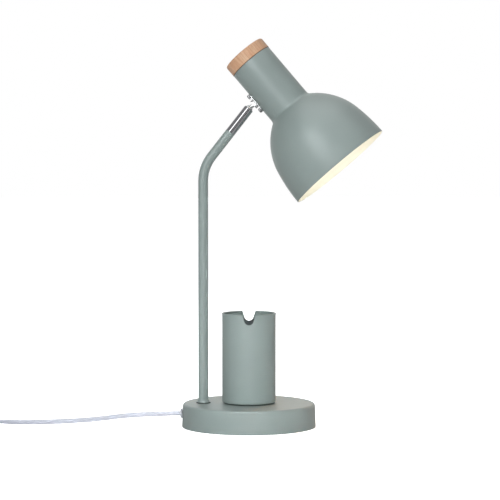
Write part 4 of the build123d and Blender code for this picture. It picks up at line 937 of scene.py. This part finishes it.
relief = {
    "back": (-390, -52, 6.85), "length": 22, "thin": 3.3, "thick": 4.7, "rings": 7, "groove": 0.6,
    "soft": 0.15, "around": 40,
}
tie = {
    "place": (-472.8, -10.35, 14.5), "head": (6.4, 6.8, 3.6), "edge": 0.36,
    "tail": (11, 4.4, 0.9), "tailRise": 38,
}
sleeve = {
    "length": 7, "y": 24, "z": 6, "wide": 3.7, "high": 2.65, "thinner": 0.78, "edge": 0.5,
    "inSwitch": 0.3, "ends": (-318, -378), "around": 40,
}


def makeRelief():
    r = relief
    step = r["length"] / (2 * r["rings"] + 1)
    bm = bmesh.new()
    line = Outline(bm, 0, 0)
    for index in range(2 * r["rings"] + 1):
        low, high = index * step, (index + 1) * step
        cut, soft, start = (r["groove"], 0, low) if index % 2 else (0, r["soft"], low + weld / 2)
        back, front = [r["thin"] + (r["thick"] - r["thin"]) * z / r["length"] - cut for z in (low, high)]
        line.run((back - soft, start), (back, low + soft + weld), (front, high - soft - weld),
                 (front - soft, high - weld / 2))
    line.run((0, r["length"]))
    turnRound(bm, r["around"])
    place = Matrix.Translation(r["back"]) @ Matrix.Rotation(radians(90), 4, "Y")
    return addPiece("plugRelief", bm, "stand", ["white"], ["plug_strain_relief"], place)


def makeTieHead():
    # the strap's buckle and its cut end
    t = tie
    bm = bmesh.new()
    block = bmesh.ops.create_cube(bm, size=1)["verts"]
    bmesh.ops.scale(bm, verts=block, vec=t["head"])
    tail = bmesh.ops.create_cube(bm, size=1)["verts"]
    bmesh.ops.scale(bm, verts=tail, vec=t["tail"])
    roundEdges(bm, bm.edges[:], t["edge"])
    near, halfWide, halfThick = t["head"][0] / 2, t["tail"][1] / 2 + 0.001, t["tail"][2] / 2 + 0.001
    far = [v for v in bm.verts if abs(v.co.x) > near or abs(v.co.z) < halfThick and abs(v.co.y) < halfWide]
    bmesh.ops.translate(bm, verts=far, vec=(-t["tail"][0] / 2, 0, 0))
    bmesh.ops.rotate(bm, verts=far, cent=(0, 0, 0), matrix=Matrix.Rotation(radians(t["tailRise"]), 3, "Y"))
    return addPiece("tieHead", bm, "stand", ["tie"], (), Matrix.Translation(t["place"]))


def makeSleeves():
    # a short tapered sleeve where the cord goes into each end of the switch
    s = sleeve
    bm = bmesh.new()
    for end, side in zip(s["ends"], (1, -1)):
        made = bmesh.ops.create_cone(bm, cap_ends=True, segments=s["around"], radius1=1, radius2=s["thinner"],
                                     depth=s["length"])["verts"]
        turn = Matrix.Rotation(radians(90 * side), 3, "Y")
        bmesh.ops.rotate(bm, verts=made, cent=(0, 0, 0), matrix=turn)
        bmesh.ops.scale(bm, verts=made, vec=(1, s["wide"], s["high"]))
        middle = end + side * (s["length"] / 2 - s["inSwitch"])
        bmesh.ops.translate(bm, verts=made, vec=(middle, s["y"], s["z"]))
    roundEdges(bm, [e for e in bm.edges if e.calc_face_angle(0) > 1], s["edge"])
    return addPiece("switchSleeves", bm, "stand", ["white"])


plugRelief = makeRelief()
tieHead = makeTieHead()
switchSleeves = makeSleeves()
print("relief, tie and sleeves ready")
